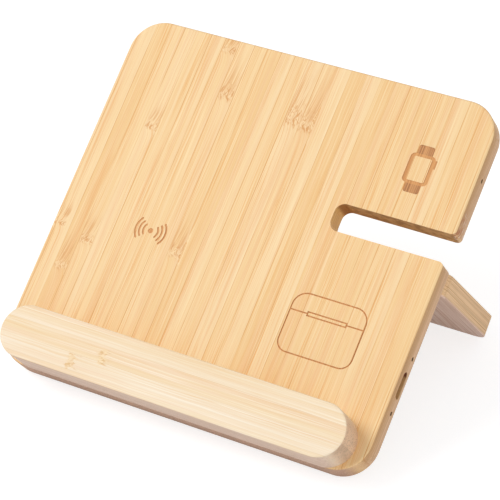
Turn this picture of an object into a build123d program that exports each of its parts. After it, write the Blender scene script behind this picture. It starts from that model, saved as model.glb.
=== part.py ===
"""Charging station organizer: a tilted bamboo board with a ledge, a folding support leg,
three wireless charging places and a power inlet in its right side.

Lengths are in millimetres and angles in degrees. +Z is up, the front faces -Y, and the
stand is centred on the origin with its feet on z = 0.
Places on the board are given as u from its left side, v up its slope from the bottom edge,
and depth behind its front face.
"""
import math
import os

from build123d import *

# Main board. Its height follows from the places on it, from the leg up.
board_width = 180.0
board_thickness = 11.0
board_top_margin = 35.7
board_corner_radius = 15.4
board_edge_ease = 0.9
front_wall = 2.5
side_wall = 4.5

# Slot from the right side, open through the board
slot_above_leg = 11.0
slot_width = 12.8
slot_depth = 55.2
slot_inner_radius = 4.4
slot_mouth_radius = 2.4

# Front ledge
ledge_width = 24.0
ledge_height = 16.0
ledge_inset = 6.2
ledge_edge_ease = 0.7
dowel_diameter = 6.0
dowel_length = 14.0
dowel_end_inset = 23.8
dowel_count = 3
dowel_clearance = 0.05
dowel_end_gap = 0.3

# Support leg, as long as fits above the board's feet when it is folded
leg_foot_gap = 0.5
leg_thickness = 10.2
leg_corner_radius = 7.0
leg_edge_ease = 0.5
leg_mount_height = 87.0
leg_open_angle = 94.0

# Hinges between board and leg
hinge_inset = 13.0
hinge_length = 14.0
hinge_leaf_width = 10.0
hinge_leaf_thickness = 1.0
hinge_barrel_radius = 1.75
hinge_pin_radius = 0.75
hinge_pin_clearance = 0.05
hinge_knuckle_gap = 0.3
hinge_knuckle_count = 5
hinge_groove_clearance = 0.35
hinge_recess_gap = 0.2
hinge_pivot_gap = 0.4
hinge_web_overlap = 0.4
hinge_screw_row = 6.2
hinge_screw_spacing = 8.0

# Countersunk screws, for hinges and cover
screw_length = 6.0
screw_radius = 1.0
screw_head_radius = 1.9
screw_head_depth = 1.0
screw_clearance = 0.05
screw_recess_length = 2.2
screw_recess_width = 0.5
screw_recess_depth = 0.5

# Rubber feet
foot_diameter = 8.0
foot_thickness = 1.5
foot_edge_gap = 1.5
board_foot_inset = 28.0
leg_foot_inset = 50.0

# Charging places: from the nearer side of the board, below the leg's mount and above the slot
phone_place_inset = 46.9
phone_place_drop = 12.4
earbuds_place_inset = 39.6
earbuds_place_drop = 32.0
watch_place_inset = 26.2
watch_place_above_slot = 23.5
coil_pocket_gap = 0.6
lead_window_length = 6.0
lead_window_width = 3.4

phone_coil_outer_radius = 22.0
phone_coil_inner_radius = 10.0
phone_coil_thickness = 1.2
phone_coil_lead_radius = 16.0
phone_ferrite_radius = 22.4
phone_ferrite_thickness = 1.0

earbuds_coil_outer_radius = 14.0
earbuds_coil_inner_radius = 6.5
earbuds_coil_thickness = 1.0
earbuds_coil_lead_radius = 10.4
earbuds_ferrite_radius = 14.4
earbuds_ferrite_thickness = 0.9

watch_coil_outer_radius = 12.0
watch_coil_inner_radius = 6.0
watch_coil_thickness = 1.0
watch_coil_lead_radius = 9.0
watch_ferrite_radius = 13.0
watch_ferrite_thickness = 0.8
watch_magnet_radius = 5.0

# Pictograms burnt into the front
icon_depth = 0.25
wave_dot_radius = 1.2
wave_first_radius = 3.6
wave_spacing = 1.9
wave_count = 3
wave_half_angle = 38.0
wave_line_width = 0.85

case_icon_width = 34.9
case_icon_height = 27.1
case_icon_top_radius = 6.6
case_icon_bottom_radius = 5.4
case_icon_line_width = 0.6
case_icon_lid_drop = 8.6
case_icon_bar_width = 18.4
case_icon_bar_height = 1.7

watch_icon_width = 11.7
watch_icon_height = 13.8
watch_icon_radius = 2.0
watch_icon_screen_width = 8.3
watch_icon_screen_height = 11.2
watch_icon_screen_radius = 0.7
watch_icon_strap_width = 7.3
watch_icon_strap_reach = 11.0
watch_icon_strap_radius = 1.0
watch_icon_crown_length = 3.8
watch_icon_crown_rise = 0.8
watch_icon_crown_shift = 3.6

# Power inlet and indicator holes in the right side
inlet_drop = 11.15
inlet_length = 12.2
inlet_height = 4.4
inlet_recess = 1.8
shell_length = 8.94
shell_height = 3.26
shell_reach = 7.35
shell_wall = 0.3
shell_corner_gap = 0.05
tongue_length = 6.7
tongue_thickness = 0.7
tongue_recess = 0.9
tongue_base_reach = 2.0
pinhole_diameter = 2.0
pinhole_spacing = 12.35
pinhole_recess = 0.5
watch_pinhole_rise = 4.2
guide_clearance = 0.05

# Main circuit board, seen from the back of the board
pcb_width = 17.0
pcb_length = 36.4
pcb_thickness = 1.0
pcb_front_depth = 7.93
pcb_gap = 0.3
pcb_shoulder = 4.0
pcb_pocket_floor = 3.4
pcb_corner_radius = 0.8
pcb_screw_inset = 1.9
pcb_screw_length = 4.4
pcb_screw_head_thickness = 0.4
led_width = 1.6
led_length = 1.8
led_height = 1.6
led_guide_gap = 0.3
chip_size = 4.0
chip_height = 0.9
chip_inset = 7.4
chip_spacing = 10.6
inductor_size = 4.2
inductor_height = 2.4
inductor_inset = 11.6
inductor_spacing = 19.0
inductor_corner_radius = 0.6
capacitor_length = 1.6
capacitor_width = 0.9
capacitor_height = 0.9
capacitor_inset = 4.6
capacitor_spacing = 2.3
capacitor_count = 4
capacitor_drop = 9.0
connector_length = 3.0
connector_width = 3.6
connector_height = 3.0
connector_inset = 0.3

# Small circuit board of the watch place
watch_pcb_width = 8.2
watch_pcb_length = 19.0
watch_pcb_thickness = 0.8
watch_pcb_floor = 4.6
watch_chip_width = 3.0
watch_chip_height = 0.9
watch_chip_inset = 3.8
watch_chip_drop = 10.4
watch_connector_width = 3.0
watch_connector_height = 2.9

# Leads
lead_diameter = 1.0
lead_depth = 6.0
lead_pair_spacing = 1.3
lead_drop_spacing = 2.0
lead_bend_radius = 4.0
lead_drop_bend_radius = 1.2
lead_lane_spacing = 4.5
lead_lane_drop = 8.5
watch_lane_drop = 4.5
channel_floor = 5.0
channel_margin = 2.1
channel_slot_gap = 13.8
channel_overlap = 2.0

# Back cover, let into the back of the board
cover_thickness = 1.5
cover_gap = 0.15
cover_corner_radius = 3.0
cover_lip = 4.4
cover_side_lip = 2.5
cover_edge_gap = 3.0
cover_slot_gap = 4.8
cover_screw_inset = 4.4

overrun = 2.0

# Places that follow from the sizes above
leg_length = leg_mount_height - foot_edge_gap - foot_diameter - leg_foot_gap
slot_bottom = leg_mount_height + slot_above_leg
slot_top = slot_bottom + slot_width
phone_place_u = phone_place_inset
phone_place_v = leg_mount_height - phone_place_drop
earbuds_place_u = board_width - earbuds_place_inset
earbuds_place_v = leg_mount_height - earbuds_place_drop
watch_place_u = board_width - watch_place_inset
watch_place_v = slot_top + watch_place_above_slot
board_height = watch_place_v + board_top_margin
inlet_v = earbuds_place_v - inlet_drop
watch_pinhole_v = watch_place_v + watch_pinhole_rise

# The tilt follows from the two lines that the stand rests on
swing = math.radians(leg_open_angle - 90)


def leg_section_point(reach, rise):
    """v and w of a place on the leg: reach along its lower face, rise above that face."""
    v = leg_mount_height + reach * math.sin(swing) + rise * math.cos(swing)
    w = -board_thickness - reach * math.cos(swing) + rise * math.sin(swing)
    return v, w


board_rest = (foot_edge_gap, -board_thickness - foot_thickness)
leg_rest = leg_section_point(leg_length + foot_thickness, (leg_thickness - foot_diameter) / 2)
tilt = math.atan2(board_rest[1] - leg_rest[1], leg_rest[0] - board_rest[0])
leg_tilt = tilt + swing


def slope_y(v, w):
    return v * math.cos(tilt) - w * math.sin(tilt)


def slope_z(v, w):
    return v * math.sin(tilt) + w * math.cos(tilt)


floor_shift = slope_z(*board_rest)
front_y = slope_y(ledge_edge_ease, ledge_height - ledge_edge_ease) - ledge_edge_ease
board_back_y = board_edge_ease + slope_y(board_height - board_edge_ease, board_edge_ease - board_thickness)
leg_back_y = slope_y(*leg_section_point(leg_length, leg_thickness))
middle_y = (front_y + max(board_back_y, leg_back_y)) / 2

up_slope = Vector(0, math.cos(tilt), math.sin(tilt))
out_of_front = Vector(0, -math.sin(tilt), math.cos(tilt))
along_leg = Vector(0, math.sin(leg_tilt), -math.cos(leg_tilt))
out_of_leg = Vector(0, math.cos(leg_tilt), math.sin(leg_tilt))
to_right = Vector(1, 0, 0)


def board_point(u, v, depth):
    return Vector(u - board_width / 2, slope_y(v, -depth) - middle_y, slope_z(v, -depth) - floor_shift)


def leg_point(x, reach, rise):
    v, w = leg_section_point(reach, rise)
    return Vector(x, slope_y(v, w) - middle_y, slope_z(v, w) - floor_shift)


def face_plane(depth):
    """Plane parallel to the board's front face, with x = u, y = v and z out of the front."""
    return Plane(origin=board_point(0, 0, depth), x_dir=to_right, z_dir=out_of_front)


def side_plane(u, v, depth):
    """Plane parallel to the board's right side, with x up the slope and z to the right."""
    return Plane(origin=board_point(u, v, depth), x_dir=up_slope, z_dir=to_right)


def back_location(u, v):
    """Place on the back of the board, with z out of the back and y up the slope."""
    return Plane(board_point(u, v, board_thickness), x_dir=-to_right, z_dir=-out_of_front).location


def board_block(u_range, v_range, depth_range, mode=Mode.ADD, radius=0):
    """Block, or pocket, square to the board, with rounded corners where a radius is given."""
    width = u_range[1] - u_range[0]
    height = v_range[1] - v_range[0]
    with BuildSketch(face_plane(depth_range[1])) as outline:
        with Locations((sum(u_range) / 2, sum(v_range) / 2)):
            if radius:
                RectangleRounded(width, height, radius)
            else:
                Rectangle(width, height)
    extrude(outline.sketch, amount=depth_range[1] - depth_range[0], mode=mode)


def board_disc(u, v, radius, depth_range, mode=Mode.ADD):
    with BuildSketch(face_plane(depth_range[1])) as outline:
        with Locations((u, v)):
            Circle(radius)
    extrude(outline.sketch, amount=depth_range[1] - depth_range[0], mode=mode)


def side_hole(outline_plane, length, height, reach):
    """Hole with full-round ends into the right side."""
    with BuildSketch(outline_plane) as outline:
        if length > height:
            SlotOverall(length, height)
        else:
            Circle(height / 2)
    extrude(outline.sketch, amount=-reach, mode=Mode.SUBTRACT)


def screws(places, length=screw_length):
    """Countersunk cross-head screws with their heads flush at the places."""
    for place in places:
        with Locations(place):
            Cone(screw_radius, screw_head_radius, screw_head_depth, align=top_align)
            Cylinder(screw_radius, length, align=top_align)
            for turn in (0, 90):
                Box(
                    screw_recess_length,
                    screw_recess_width,
                    screw_recess_depth,
                    rotation=(0, 0, turn),
                    align=top_align,
                    mode=Mode.SUBTRACT,
                )


def screw_holes(places, length=screw_length):
    for place in places:
        with Locations(place):
            Cone(
                screw_radius + screw_clearance,
                screw_head_radius + screw_clearance,
                screw_head_depth,
                align=top_align,
                mode=Mode.SUBTRACT,
            )
            Cylinder(
                screw_radius + screw_clearance,
                length + screw_clearance,
                align=top_align,
                mode=Mode.SUBTRACT,
            )


top_align = (Align.CENTER, Align.CENTER, Align.MAX)
leaf_align = (Align.CENTER, Align.MIN, Align.MIN)
board_back = (front_wall, board_thickness + overrun)

# Places that several pieces share
pivot_v = leg_mount_height - hinge_pivot_gap
pivot_depth = board_thickness + hinge_pivot_gap
pivot_reach = hinge_pivot_gap * (math.cos(swing) - math.sin(swing))
pivot_middle = board_point(board_width / 2, pivot_v, pivot_depth)
hinge_sides = {"left": hinge_inset - board_width / 2, "right": board_width / 2 - hinge_inset}
groove_radius = hinge_barrel_radius + hinge_groove_clearance
leg_plane = Plane(origin=leg_point(0, 0, 0), x_dir=to_right, z_dir=out_of_leg)


def board_leaf_plane(offset):
    origin = board_point(board_width / 2 + offset, pivot_v, board_thickness)
    return Plane(origin, x_dir=-to_right, z_dir=out_of_front)


def leg_leaf_plane(offset):
    return Plane(leg_point(offset, pivot_reach, 0), x_dir=to_right, z_dir=out_of_leg)


def leaf_screw_places(leaf_plane):
    """Screw places of a leaf, with z out of the surface that the leaf is let into."""
    places = []
    for step in (-hinge_screw_spacing / 2, hinge_screw_spacing / 2):
        origin = leaf_plane.from_local_coords(Vector(step, hinge_screw_row, 0))
        places.append(Plane(origin, x_dir=leaf_plane.x_dir, z_dir=-leaf_plane.z_dir).location)
    return places


def cut_leaf_recess(leaf_plane, offset):
    """Recess for a leaf, and the groove that the barrel turns in."""
    length = hinge_length + 2 * hinge_recess_gap
    width = hinge_leaf_width + hinge_recess_gap
    with Locations(leaf_plane.location):
        Box(length, width, hinge_leaf_thickness, align=leaf_align, mode=Mode.SUBTRACT)
    with Locations(pivot_middle + to_right * offset):
        Cylinder(groove_radius, length, rotation=(0, 90, 0), mode=Mode.SUBTRACT)


def hinge_leaf(leaf_plane, offset, knuckles):
    """Leaf plate with its own knuckles, bored for the pin and countersunk for two screws."""
    pitch = (hinge_length + hinge_knuckle_gap) / hinge_knuckle_count
    knuckle = pitch - hinge_knuckle_gap
    with Locations(leaf_plane.location):
        Box(hinge_length, hinge_leaf_width, hinge_leaf_thickness, align=leaf_align)
    with Locations(pivot_middle + to_right * offset):
        Cylinder(groove_radius, hinge_length + 2 * overrun, rotation=(0, 90, 0), mode=Mode.SUBTRACT)
    for index in knuckles:
        step = (index - (hinge_knuckle_count - 1) / 2) * pitch
        web_plane = Plane(
            leaf_plane.from_local_coords(Vector(step * leaf_plane.x_dir.X, 0, 0)),
            x_dir=leaf_plane.x_dir,
            z_dir=leaf_plane.z_dir,
        )
        with Locations(web_plane.location):
            Box(knuckle, groove_radius + hinge_web_overlap, hinge_leaf_thickness, align=leaf_align)
        with Locations(pivot_middle + to_right * (offset + step)):
            Cylinder(hinge_barrel_radius, knuckle, rotation=(0, 90, 0))
    with Locations(pivot_middle + to_right * offset):
        bore = hinge_pin_radius + hinge_pin_clearance
        Cylinder(bore, hinge_length + 2 * overrun, rotation=(0, 90, 0), mode=Mode.SUBTRACT)
    screw_holes(leaf_screw_places(leaf_plane))


# Pockets of the charging places, by centre and coil stack
phone_coil_back = front_wall + phone_coil_thickness
earbuds_coil_back = front_wall + earbuds_coil_thickness
watch_coil_back = front_wall + watch_coil_thickness

# Main circuit board and its pocket
pocket_right = board_width - side_wall
pcb_right = pocket_right - pcb_gap
pcb_left = pcb_right - pcb_width
pcb_v = (inlet_v - pcb_length / 2, inlet_v + pcb_length / 2)
pcb_back_depth = pcb_front_depth + pcb_thickness
pcb_pocket_u = (pcb_left - pcb_gap, pocket_right)
pcb_pocket_v = (pcb_v[0] - pcb_gap, pcb_v[1] + pcb_gap)
pcb_deep_v = (pcb_pocket_v[0] + pcb_shoulder, pcb_pocket_v[1] - pcb_shoulder)
shell_depth = pcb_front_depth - shell_height / 2
shell_mouth = board_width - inlet_recess
led_right = pocket_right - led_guide_gap
led_depth = pcb_front_depth - led_height / 2
connector_left = pcb_left + connector_inset
earbuds_lane_v = earbuds_place_v - lead_lane_drop
phone_lane_v = earbuds_lane_v + lead_lane_spacing
watch_lane_v = phone_lane_v + lead_lane_spacing
lead_depths = (lead_depth, lead_depth + lead_pair_spacing)
channel_u = board_width - slot_depth - channel_slot_gap
phone_lane_u = channel_u - lead_lane_spacing / 2
watch_lane_u = channel_u + lead_lane_spacing / 2

# Watch circuit board and its pocket
watch_pcb_right = pocket_right - pcb_gap
watch_pcb_left = watch_pcb_right - watch_pcb_width
watch_pcb_v = (watch_place_v - watch_pcb_length / 2, watch_place_v + watch_pcb_length / 2)
watch_pcb_back = watch_pcb_floor + watch_pcb_thickness
watch_led_depth = watch_pcb_back + led_height / 2
watch_coil_lane_v = watch_place_v - watch_lane_drop

# Engraving sketches
with BuildSketch(face_plane(0)) as wave_icon:
    with Locations((phone_place_u, phone_place_v)):
        Circle(wave_dot_radius)
    with BuildLine():
        for middle_angle in (0, 180):
            for ring in range(wave_count):
                CenterArc(
                    (phone_place_u, phone_place_v),
                    wave_first_radius + ring * wave_spacing,
                    middle_angle - wave_half_angle,
                    2 * wave_half_angle,
                )
    trace(line_width=wave_line_width)
    for ring in range(wave_count):
        for middle_angle in (0, 180):
            with Locations((phone_place_u, phone_place_v)):
                with PolarLocations(
                    wave_first_radius + ring * wave_spacing,
                    2,
                    start_angle=middle_angle - wave_half_angle,
                    angular_range=2 * wave_half_angle,
                    endpoint=True,
                ):
                    Circle(wave_line_width / 2)

case_lid_v = earbuds_place_v + case_icon_height / 2 - case_icon_lid_drop
case_line_reach = (case_icon_width - case_icon_bar_width) / 2
with BuildSketch(face_plane(0)) as case_icon:
    with Locations((earbuds_place_u, earbuds_place_v)):
        Rectangle(case_icon_width + case_icon_line_width, case_icon_height + case_icon_line_width)
    fillet(case_icon.vertices().group_by(Axis.Y)[-1], case_icon_top_radius)
    fillet(case_icon.vertices().group_by(Axis.Y)[0], case_icon_bottom_radius)
    offset(amount=-case_icon_line_width, mode=Mode.SUBTRACT)
    for side in (-1, 1):
        middle_u = earbuds_place_u + side * (case_icon_width - case_line_reach) / 2
        with Locations((middle_u, case_lid_v)):
            Rectangle(case_line_reach, case_icon_line_width)
    with Locations((earbuds_place_u, case_lid_v)):
        Rectangle(case_icon_bar_width + case_icon_line_width, case_icon_bar_height + case_icon_line_width)
        Rectangle(
            case_icon_bar_width - case_icon_line_width,
            case_icon_bar_height - case_icon_line_width,
            mode=Mode.SUBTRACT,
        )

with BuildSketch(face_plane(0)) as watch_icon:
    with Locations((watch_place_u, watch_place_v)):
        RectangleRounded(watch_icon_width, watch_icon_height, watch_icon_radius)
        RectangleRounded(watch_icon_strap_width, 2 * watch_icon_strap_reach, watch_icon_strap_radius)
        RectangleRounded(
            watch_icon_screen_width, watch_icon_screen_height, watch_icon_screen_radius, mode=Mode.SUBTRACT
        )
    with Locations((watch_place_u + watch_icon_width / 2, watch_place_v + watch_icon_crown_shift)):
        Rectangle(2 * watch_icon_crown_rise, watch_icon_crown_length)

# Cover outline: phone place to the left, earbuds place below the slot, watch place above it
phone_pocket_radius = phone_ferrite_radius + coil_pocket_gap
earbuds_pocket_radius = earbuds_ferrite_radius + coil_pocket_gap
watch_pocket_radius = watch_ferrite_radius + coil_pocket_gap
cover_left = phone_place_u - phone_pocket_radius - cover_side_lip
cover_right = board_width - cover_edge_gap
cover_phone_bottom = phone_place_v - phone_pocket_radius - cover_lip
cover_phone_top = phone_place_v + phone_pocket_radius + cover_lip
cover_step_u = earbuds_place_u - earbuds_pocket_radius - 2 * cover_lip
cover_earbuds_bottom = pcb_pocket_v[0] - cover_lip
cover_earbuds_top = earbuds_place_v + earbuds_pocket_radius + cover_lip
cover_neck_u = board_width - slot_depth - cover_slot_gap
cover_watch_bottom = watch_place_v - watch_pocket_radius - cover_lip
cover_watch_left = phone_lane_u - channel_margin - cover_lip
cover_top = watch_place_v + watch_pocket_radius + cover_lip
cover_outline = [
    (cover_left, cover_phone_bottom),
    (cover_step_u, cover_phone_bottom),
    (cover_step_u, cover_earbuds_bottom),
    (cover_right, cover_earbuds_bottom),
    (cover_right, cover_earbuds_top),
    (cover_neck_u, cover_earbuds_top),
    (cover_neck_u, cover_watch_bottom),
    (cover_right, cover_watch_bottom),
    (cover_right, cover_top),
    (cover_watch_left, cover_top),
    (cover_watch_left, cover_phone_top),
    (cover_left, cover_phone_top),
]
cover_screw_points = [
    (cover_left + cover_screw_inset, cover_phone_bottom + cover_screw_inset),
    (cover_left + cover_screw_inset, cover_phone_top - cover_screw_inset),
    (cover_watch_left - cover_screw_inset, cover_phone_bottom + cover_screw_inset),
    (cover_step_u + cover_screw_inset, cover_earbuds_bottom + cover_screw_inset),
    (pcb_pocket_u[0] - cover_screw_inset, pcb_pocket_v[0] + cover_screw_inset),
    (cover_right - cover_screw_inset, cover_earbuds_top - cover_screw_inset),
    (cover_watch_left + cover_screw_inset, cover_top - cover_screw_inset),
    (cover_right - cover_screw_inset, cover_top - cover_screw_inset),
    (cover_right - cover_screw_inset, cover_watch_bottom + cover_screw_inset),
]
cover_screw_places = [back_location(u, v) for u, v in cover_screw_points]
with BuildSketch(face_plane(board_thickness)) as cover_sketch:
    with BuildLine():
        Polyline(cover_outline, close=True)
    make_face()
    fillet(cover_sketch.vertices(), cover_corner_radius)

dowel_span = board_width - 2 * (ledge_inset + dowel_end_inset)
dowel_points = [
    (ledge_inset + dowel_end_inset + index * dowel_span / (dowel_count - 1), ledge_width / 2)
    for index in range(dowel_count)
]
dowel_half = dowel_length / 2
guide_places = [
    (inlet_v - pinhole_spacing, led_depth),
    (inlet_v + pinhole_spacing, led_depth),
    (watch_pinhole_v, watch_led_depth),
]

with BuildPart() as main_board:
    with BuildSketch(face_plane(board_thickness)):
        with Locations((board_width / 2, board_height / 2)):
            RectangleRounded(board_width, board_height, board_corner_radius)
    extrude(amount=board_thickness)
    fillet(main_board.faces().filter_by(face_plane(0)).edges(), board_edge_ease)
    # Slot, flared at its mouth
    with BuildSketch(face_plane(board_thickness + overrun)) as slot_sketch:
        with Locations((board_width - slot_depth, slot_bottom)):
            Rectangle(slot_depth + overrun, slot_width, align=(Align.MIN, Align.MIN))
        with Locations((board_width, slot_bottom + slot_width / 2)):
            mouth_width = slot_width + 2 * overrun + 2 * slot_mouth_radius
            Rectangle(overrun, mouth_width, align=(Align.MIN, Align.CENTER))
        fillet(slot_sketch.vertices().group_by(Axis.X)[0], slot_inner_radius)
        mouth = [
            corner
            for corner in slot_sketch.vertices().group_by(Axis.X)[-2]
            if abs(corner.Y - slot_bottom - slot_width / 2) < slot_width / 2 + slot_mouth_radius
        ]
        fillet(mouth, slot_mouth_radius)
    extrude(slot_sketch.sketch, amount=board_thickness + 2 * overrun, mode=Mode.SUBTRACT)
    # Pictograms
    for icon in (wave_icon, case_icon, watch_icon):
        extrude(icon.sketch, amount=-icon_depth, mode=Mode.SUBTRACT)
    # Pockets and channels milled from the back
    for place_u, place_v, pocket_radius in (
        (phone_place_u, phone_place_v, phone_pocket_radius),
        (earbuds_place_u, earbuds_place_v, earbuds_pocket_radius),
        (watch_place_u, watch_place_v, watch_pocket_radius),
    ):
        board_disc(place_u, place_v, pocket_radius, board_back, Mode.SUBTRACT)
    board_block(pcb_pocket_u, pcb_pocket_v, (pcb_front_depth, board_back[1]), Mode.SUBTRACT)
    board_block(pcb_pocket_u, pcb_deep_v, (pcb_pocket_floor, board_back[1]), Mode.SUBTRACT)
    board_block(
        (watch_pcb_left - channel_overlap, pocket_right),
        (watch_pcb_v[0] - pcb_gap, watch_pcb_v[1] + pcb_gap),
        (watch_pcb_floor, board_back[1]),
        Mode.SUBTRACT,
    )
    for u_range, v_range in (
        ((earbuds_place_u, pcb_left + channel_overlap), (earbuds_lane_v, watch_lane_v)),
        ((phone_lane_u, earbuds_place_u), (phone_lane_v, watch_lane_v)),
        ((phone_lane_u, watch_lane_u), (phone_lane_v, watch_place_v)),
        ((phone_place_u, phone_lane_u), (phone_place_v, phone_place_v)),
        ((watch_lane_u, watch_place_u), (watch_place_v, watch_place_v)),
    ):
        board_block(
            (u_range[0] - channel_margin, u_range[1] + channel_margin),
            (v_range[0] - channel_margin, v_range[1] + channel_margin),
            (channel_floor, board_back[1]),
            Mode.SUBTRACT,
        )
    # Rebate for the cover
    with BuildSketch(face_plane(board_thickness + overrun)) as rebate_sketch:
        with BuildLine():
            Polyline(cover_outline, close=True)
        make_face()
        fillet(rebate_sketch.vertices(), cover_corner_radius)
        offset(amount=cover_gap)
    extrude(rebate_sketch.sketch, amount=cover_thickness + overrun, mode=Mode.SUBTRACT)
    screw_holes(cover_screw_places)
    # Power inlet and pinholes
    inlet_reach = side_wall + 2 * overrun
    inlet_plane = side_plane(board_width + overrun, inlet_v, shell_depth)
    side_hole(inlet_plane, inlet_length, inlet_height, inlet_reach)
    for guide_v, guide_depth in guide_places:
        side_hole(side_plane(board_width + overrun, guide_v, guide_depth), 0, pinhole_diameter, inlet_reach)
    # Holes of the circuit board's screws
    for end in (-1, 1):
        board_disc(
            pcb_left + pcb_width / 2,
            inlet_v + end * (pcb_length / 2 - pcb_screw_inset),
            screw_radius + screw_clearance,
            (pcb_back_depth - pcb_screw_length - screw_clearance, pcb_back_depth),
            Mode.SUBTRACT,
        )
    # Dowel holes in the front
    for dowel_u, dowel_v in dowel_points:
        board_disc(
            dowel_u,
            dowel_v,
            dowel_diameter / 2 + dowel_clearance,
            (-overrun, dowel_half + dowel_end_gap),
            Mode.SUBTRACT,
        )
    for hinge_side in hinge_sides.values():
        cut_leaf_recess(board_leaf_plane(hinge_side), hinge_side)
        screw_holes(leaf_screw_places(board_leaf_plane(hinge_side)))

with BuildPart() as front_ledge:
    with BuildSketch(face_plane(0)):
        with Locations((board_width / 2, ledge_width / 2)):
            SlotOverall(board_width - 2 * ledge_inset, ledge_width)
    extrude(amount=ledge_height)
    outward = Axis(board_point(0, 0, 0), out_of_front)
    front_side = front_ledge.faces().filter_by(face_plane(0)).sort_by(outward)[-1]
    fillet(front_side.edges(), ledge_edge_ease)
    for dowel_u, dowel_v in dowel_points:
        board_disc(
            dowel_u,
            dowel_v,
            dowel_diameter / 2 + dowel_clearance,
            (-dowel_half - dowel_end_gap, overrun),
            Mode.SUBTRACT,
        )

with BuildPart() as ledge_dowels:
    for dowel_u, dowel_v in dowel_points:
        board_disc(dowel_u, dowel_v, dowel_diameter / 2, (-dowel_half, dowel_half))

with BuildPart() as support_leg:
    with BuildSketch(leg_plane):
        with Locations((0, leg_length / 2)):
            RectangleRounded(board_width, leg_length, leg_corner_radius)
    extrude(amount=leg_thickness)
    fillet(support_leg.faces().filter_by(leg_plane).edges(), leg_edge_ease)
    # Its end rests flat against the back of the board
    board_span = (-overrun, board_width + overrun)
    board_block(board_span, (0, board_height), (0, board_thickness), Mode.SUBTRACT)
    for hinge_side in hinge_sides.values():
        cut_leaf_recess(leg_leaf_plane(hinge_side), hinge_side)
        screw_holes(leaf_screw_places(leg_leaf_plane(hinge_side)))

board_knuckles = range(0, hinge_knuckle_count, 2)
leg_knuckles = range(1, hinge_knuckle_count, 2)

with BuildPart() as left_hinge_board_leaf:
    hinge_leaf(board_leaf_plane(hinge_sides["left"]), hinge_sides["left"], board_knuckles)

with BuildPart() as right_hinge_board_leaf:
    hinge_leaf(board_leaf_plane(hinge_sides["right"]), hinge_sides["right"], board_knuckles)

with BuildPart() as left_hinge_leg_leaf:
    hinge_leaf(leg_leaf_plane(hinge_sides["left"]), hinge_sides["left"], leg_knuckles)

with BuildPart() as right_hinge_leg_leaf:
    hinge_leaf(leg_leaf_plane(hinge_sides["right"]), hinge_sides["right"], leg_knuckles)

with BuildPart() as left_hinge_pin:
    with Locations(pivot_middle + to_right * hinge_sides["left"]):
        Cylinder(hinge_pin_radius, hinge_length, rotation=(0, 90, 0))

with BuildPart() as right_hinge_pin:
    with Locations(pivot_middle + to_right * hinge_sides["right"]):
        Cylinder(hinge_pin_radius, hinge_length, rotation=(0, 90, 0))

with BuildPart() as hinge_board_screws:
    for hinge_side in hinge_sides.values():
        screws(leaf_screw_places(board_leaf_plane(hinge_side)))

with BuildPart() as hinge_leg_screws:
    for hinge_side in hinge_sides.values():
        screws(leaf_screw_places(leg_leaf_plane(hinge_side)))

with BuildPart() as back_cover:
    extrude(cover_sketch.sketch, amount=cover_thickness)
    screw_holes(cover_screw_places)

with BuildPart() as cover_screws:
    screws(cover_screw_places)

with BuildPart() as board_feet:
    for foot_u in (board_foot_inset, board_width - board_foot_inset):
        with Locations(back_location(foot_u, foot_edge_gap + foot_diameter / 2)):
            Cylinder(foot_diameter / 2, foot_thickness, align=(Align.CENTER, Align.CENTER, Align.MIN))

with BuildPart() as leg_feet:
    for foot_side in (-1, 1):
        foot_x = foot_side * (board_width / 2 - leg_foot_inset)
        foot_middle = leg_point(foot_x, leg_length, leg_thickness / 2)
        with Locations(Plane(foot_middle, x_dir=to_right, z_dir=along_leg).location):
            Cylinder(foot_diameter / 2, foot_thickness, align=(Align.CENTER, Align.CENTER, Align.MIN))


def coil(u, v, outer_radius, inner_radius, thickness):
    """Flat ring of turns on the pocket's floor."""
    board_disc(u, v, outer_radius, (front_wall, front_wall + thickness))
    board_disc(u, v, inner_radius, (front_wall, front_wall + thickness), Mode.SUBTRACT)


def ferrite(u, v, radius, coil_thickness, thickness, window_u, window_v):
    """Disc behind a coil, with a window where its leads come through."""
    depths = (front_wall + coil_thickness, front_wall + coil_thickness + thickness)
    board_disc(u, v, radius, depths)
    board_block(
        (window_u - lead_window_length / 2, window_u + lead_window_length / 2),
        (window_v - lead_window_width / 2, window_v + lead_window_width / 2),
        depths,
        Mode.SUBTRACT,
    )


def landing_u(place_u, place_v, radius, lane):
    """u where a lane of leads passes over a coil's ring, on its right."""
    return place_u + math.sqrt(radius ** 2 - (lane - place_v) ** 2)


phone_landing = landing_u(phone_place_u, phone_place_v, phone_coil_lead_radius, phone_place_v)
earbuds_landing = landing_u(earbuds_place_u, earbuds_place_v, earbuds_coil_lead_radius, earbuds_lane_v)
watch_landing = landing_u(watch_place_u, watch_place_v, watch_coil_lead_radius, watch_coil_lane_v)

with BuildPart() as phone_coil:
    coil(
        phone_place_u, phone_place_v, phone_coil_outer_radius, phone_coil_inner_radius, phone_coil_thickness
    )

with BuildPart() as phone_ferrite:
    ferrite(
        phone_place_u,
        phone_place_v,
        phone_ferrite_radius,
        phone_coil_thickness,
        phone_ferrite_thickness,
        phone_landing,
        phone_place_v,
    )

with BuildPart() as earbuds_coil:
    coil(
        earbuds_place_u,
        earbuds_place_v,
        earbuds_coil_outer_radius,
        earbuds_coil_inner_radius,
        earbuds_coil_thickness,
    )

with BuildPart() as earbuds_ferrite:
    ferrite(
        earbuds_place_u,
        earbuds_place_v,
        earbuds_ferrite_radius,
        earbuds_coil_thickness,
        earbuds_ferrite_thickness,
        earbuds_landing,
        earbuds_lane_v,
    )

with BuildPart() as watch_coil:
    coil(
        watch_place_u, watch_place_v, watch_coil_outer_radius, watch_coil_inner_radius, watch_coil_thickness
    )

with BuildPart() as watch_ferrite:
    ferrite(
        watch_place_u,
        watch_place_v,
        watch_ferrite_radius,
        watch_coil_thickness,
        watch_ferrite_thickness,
        watch_landing,
        watch_coil_lane_v,
    )

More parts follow.
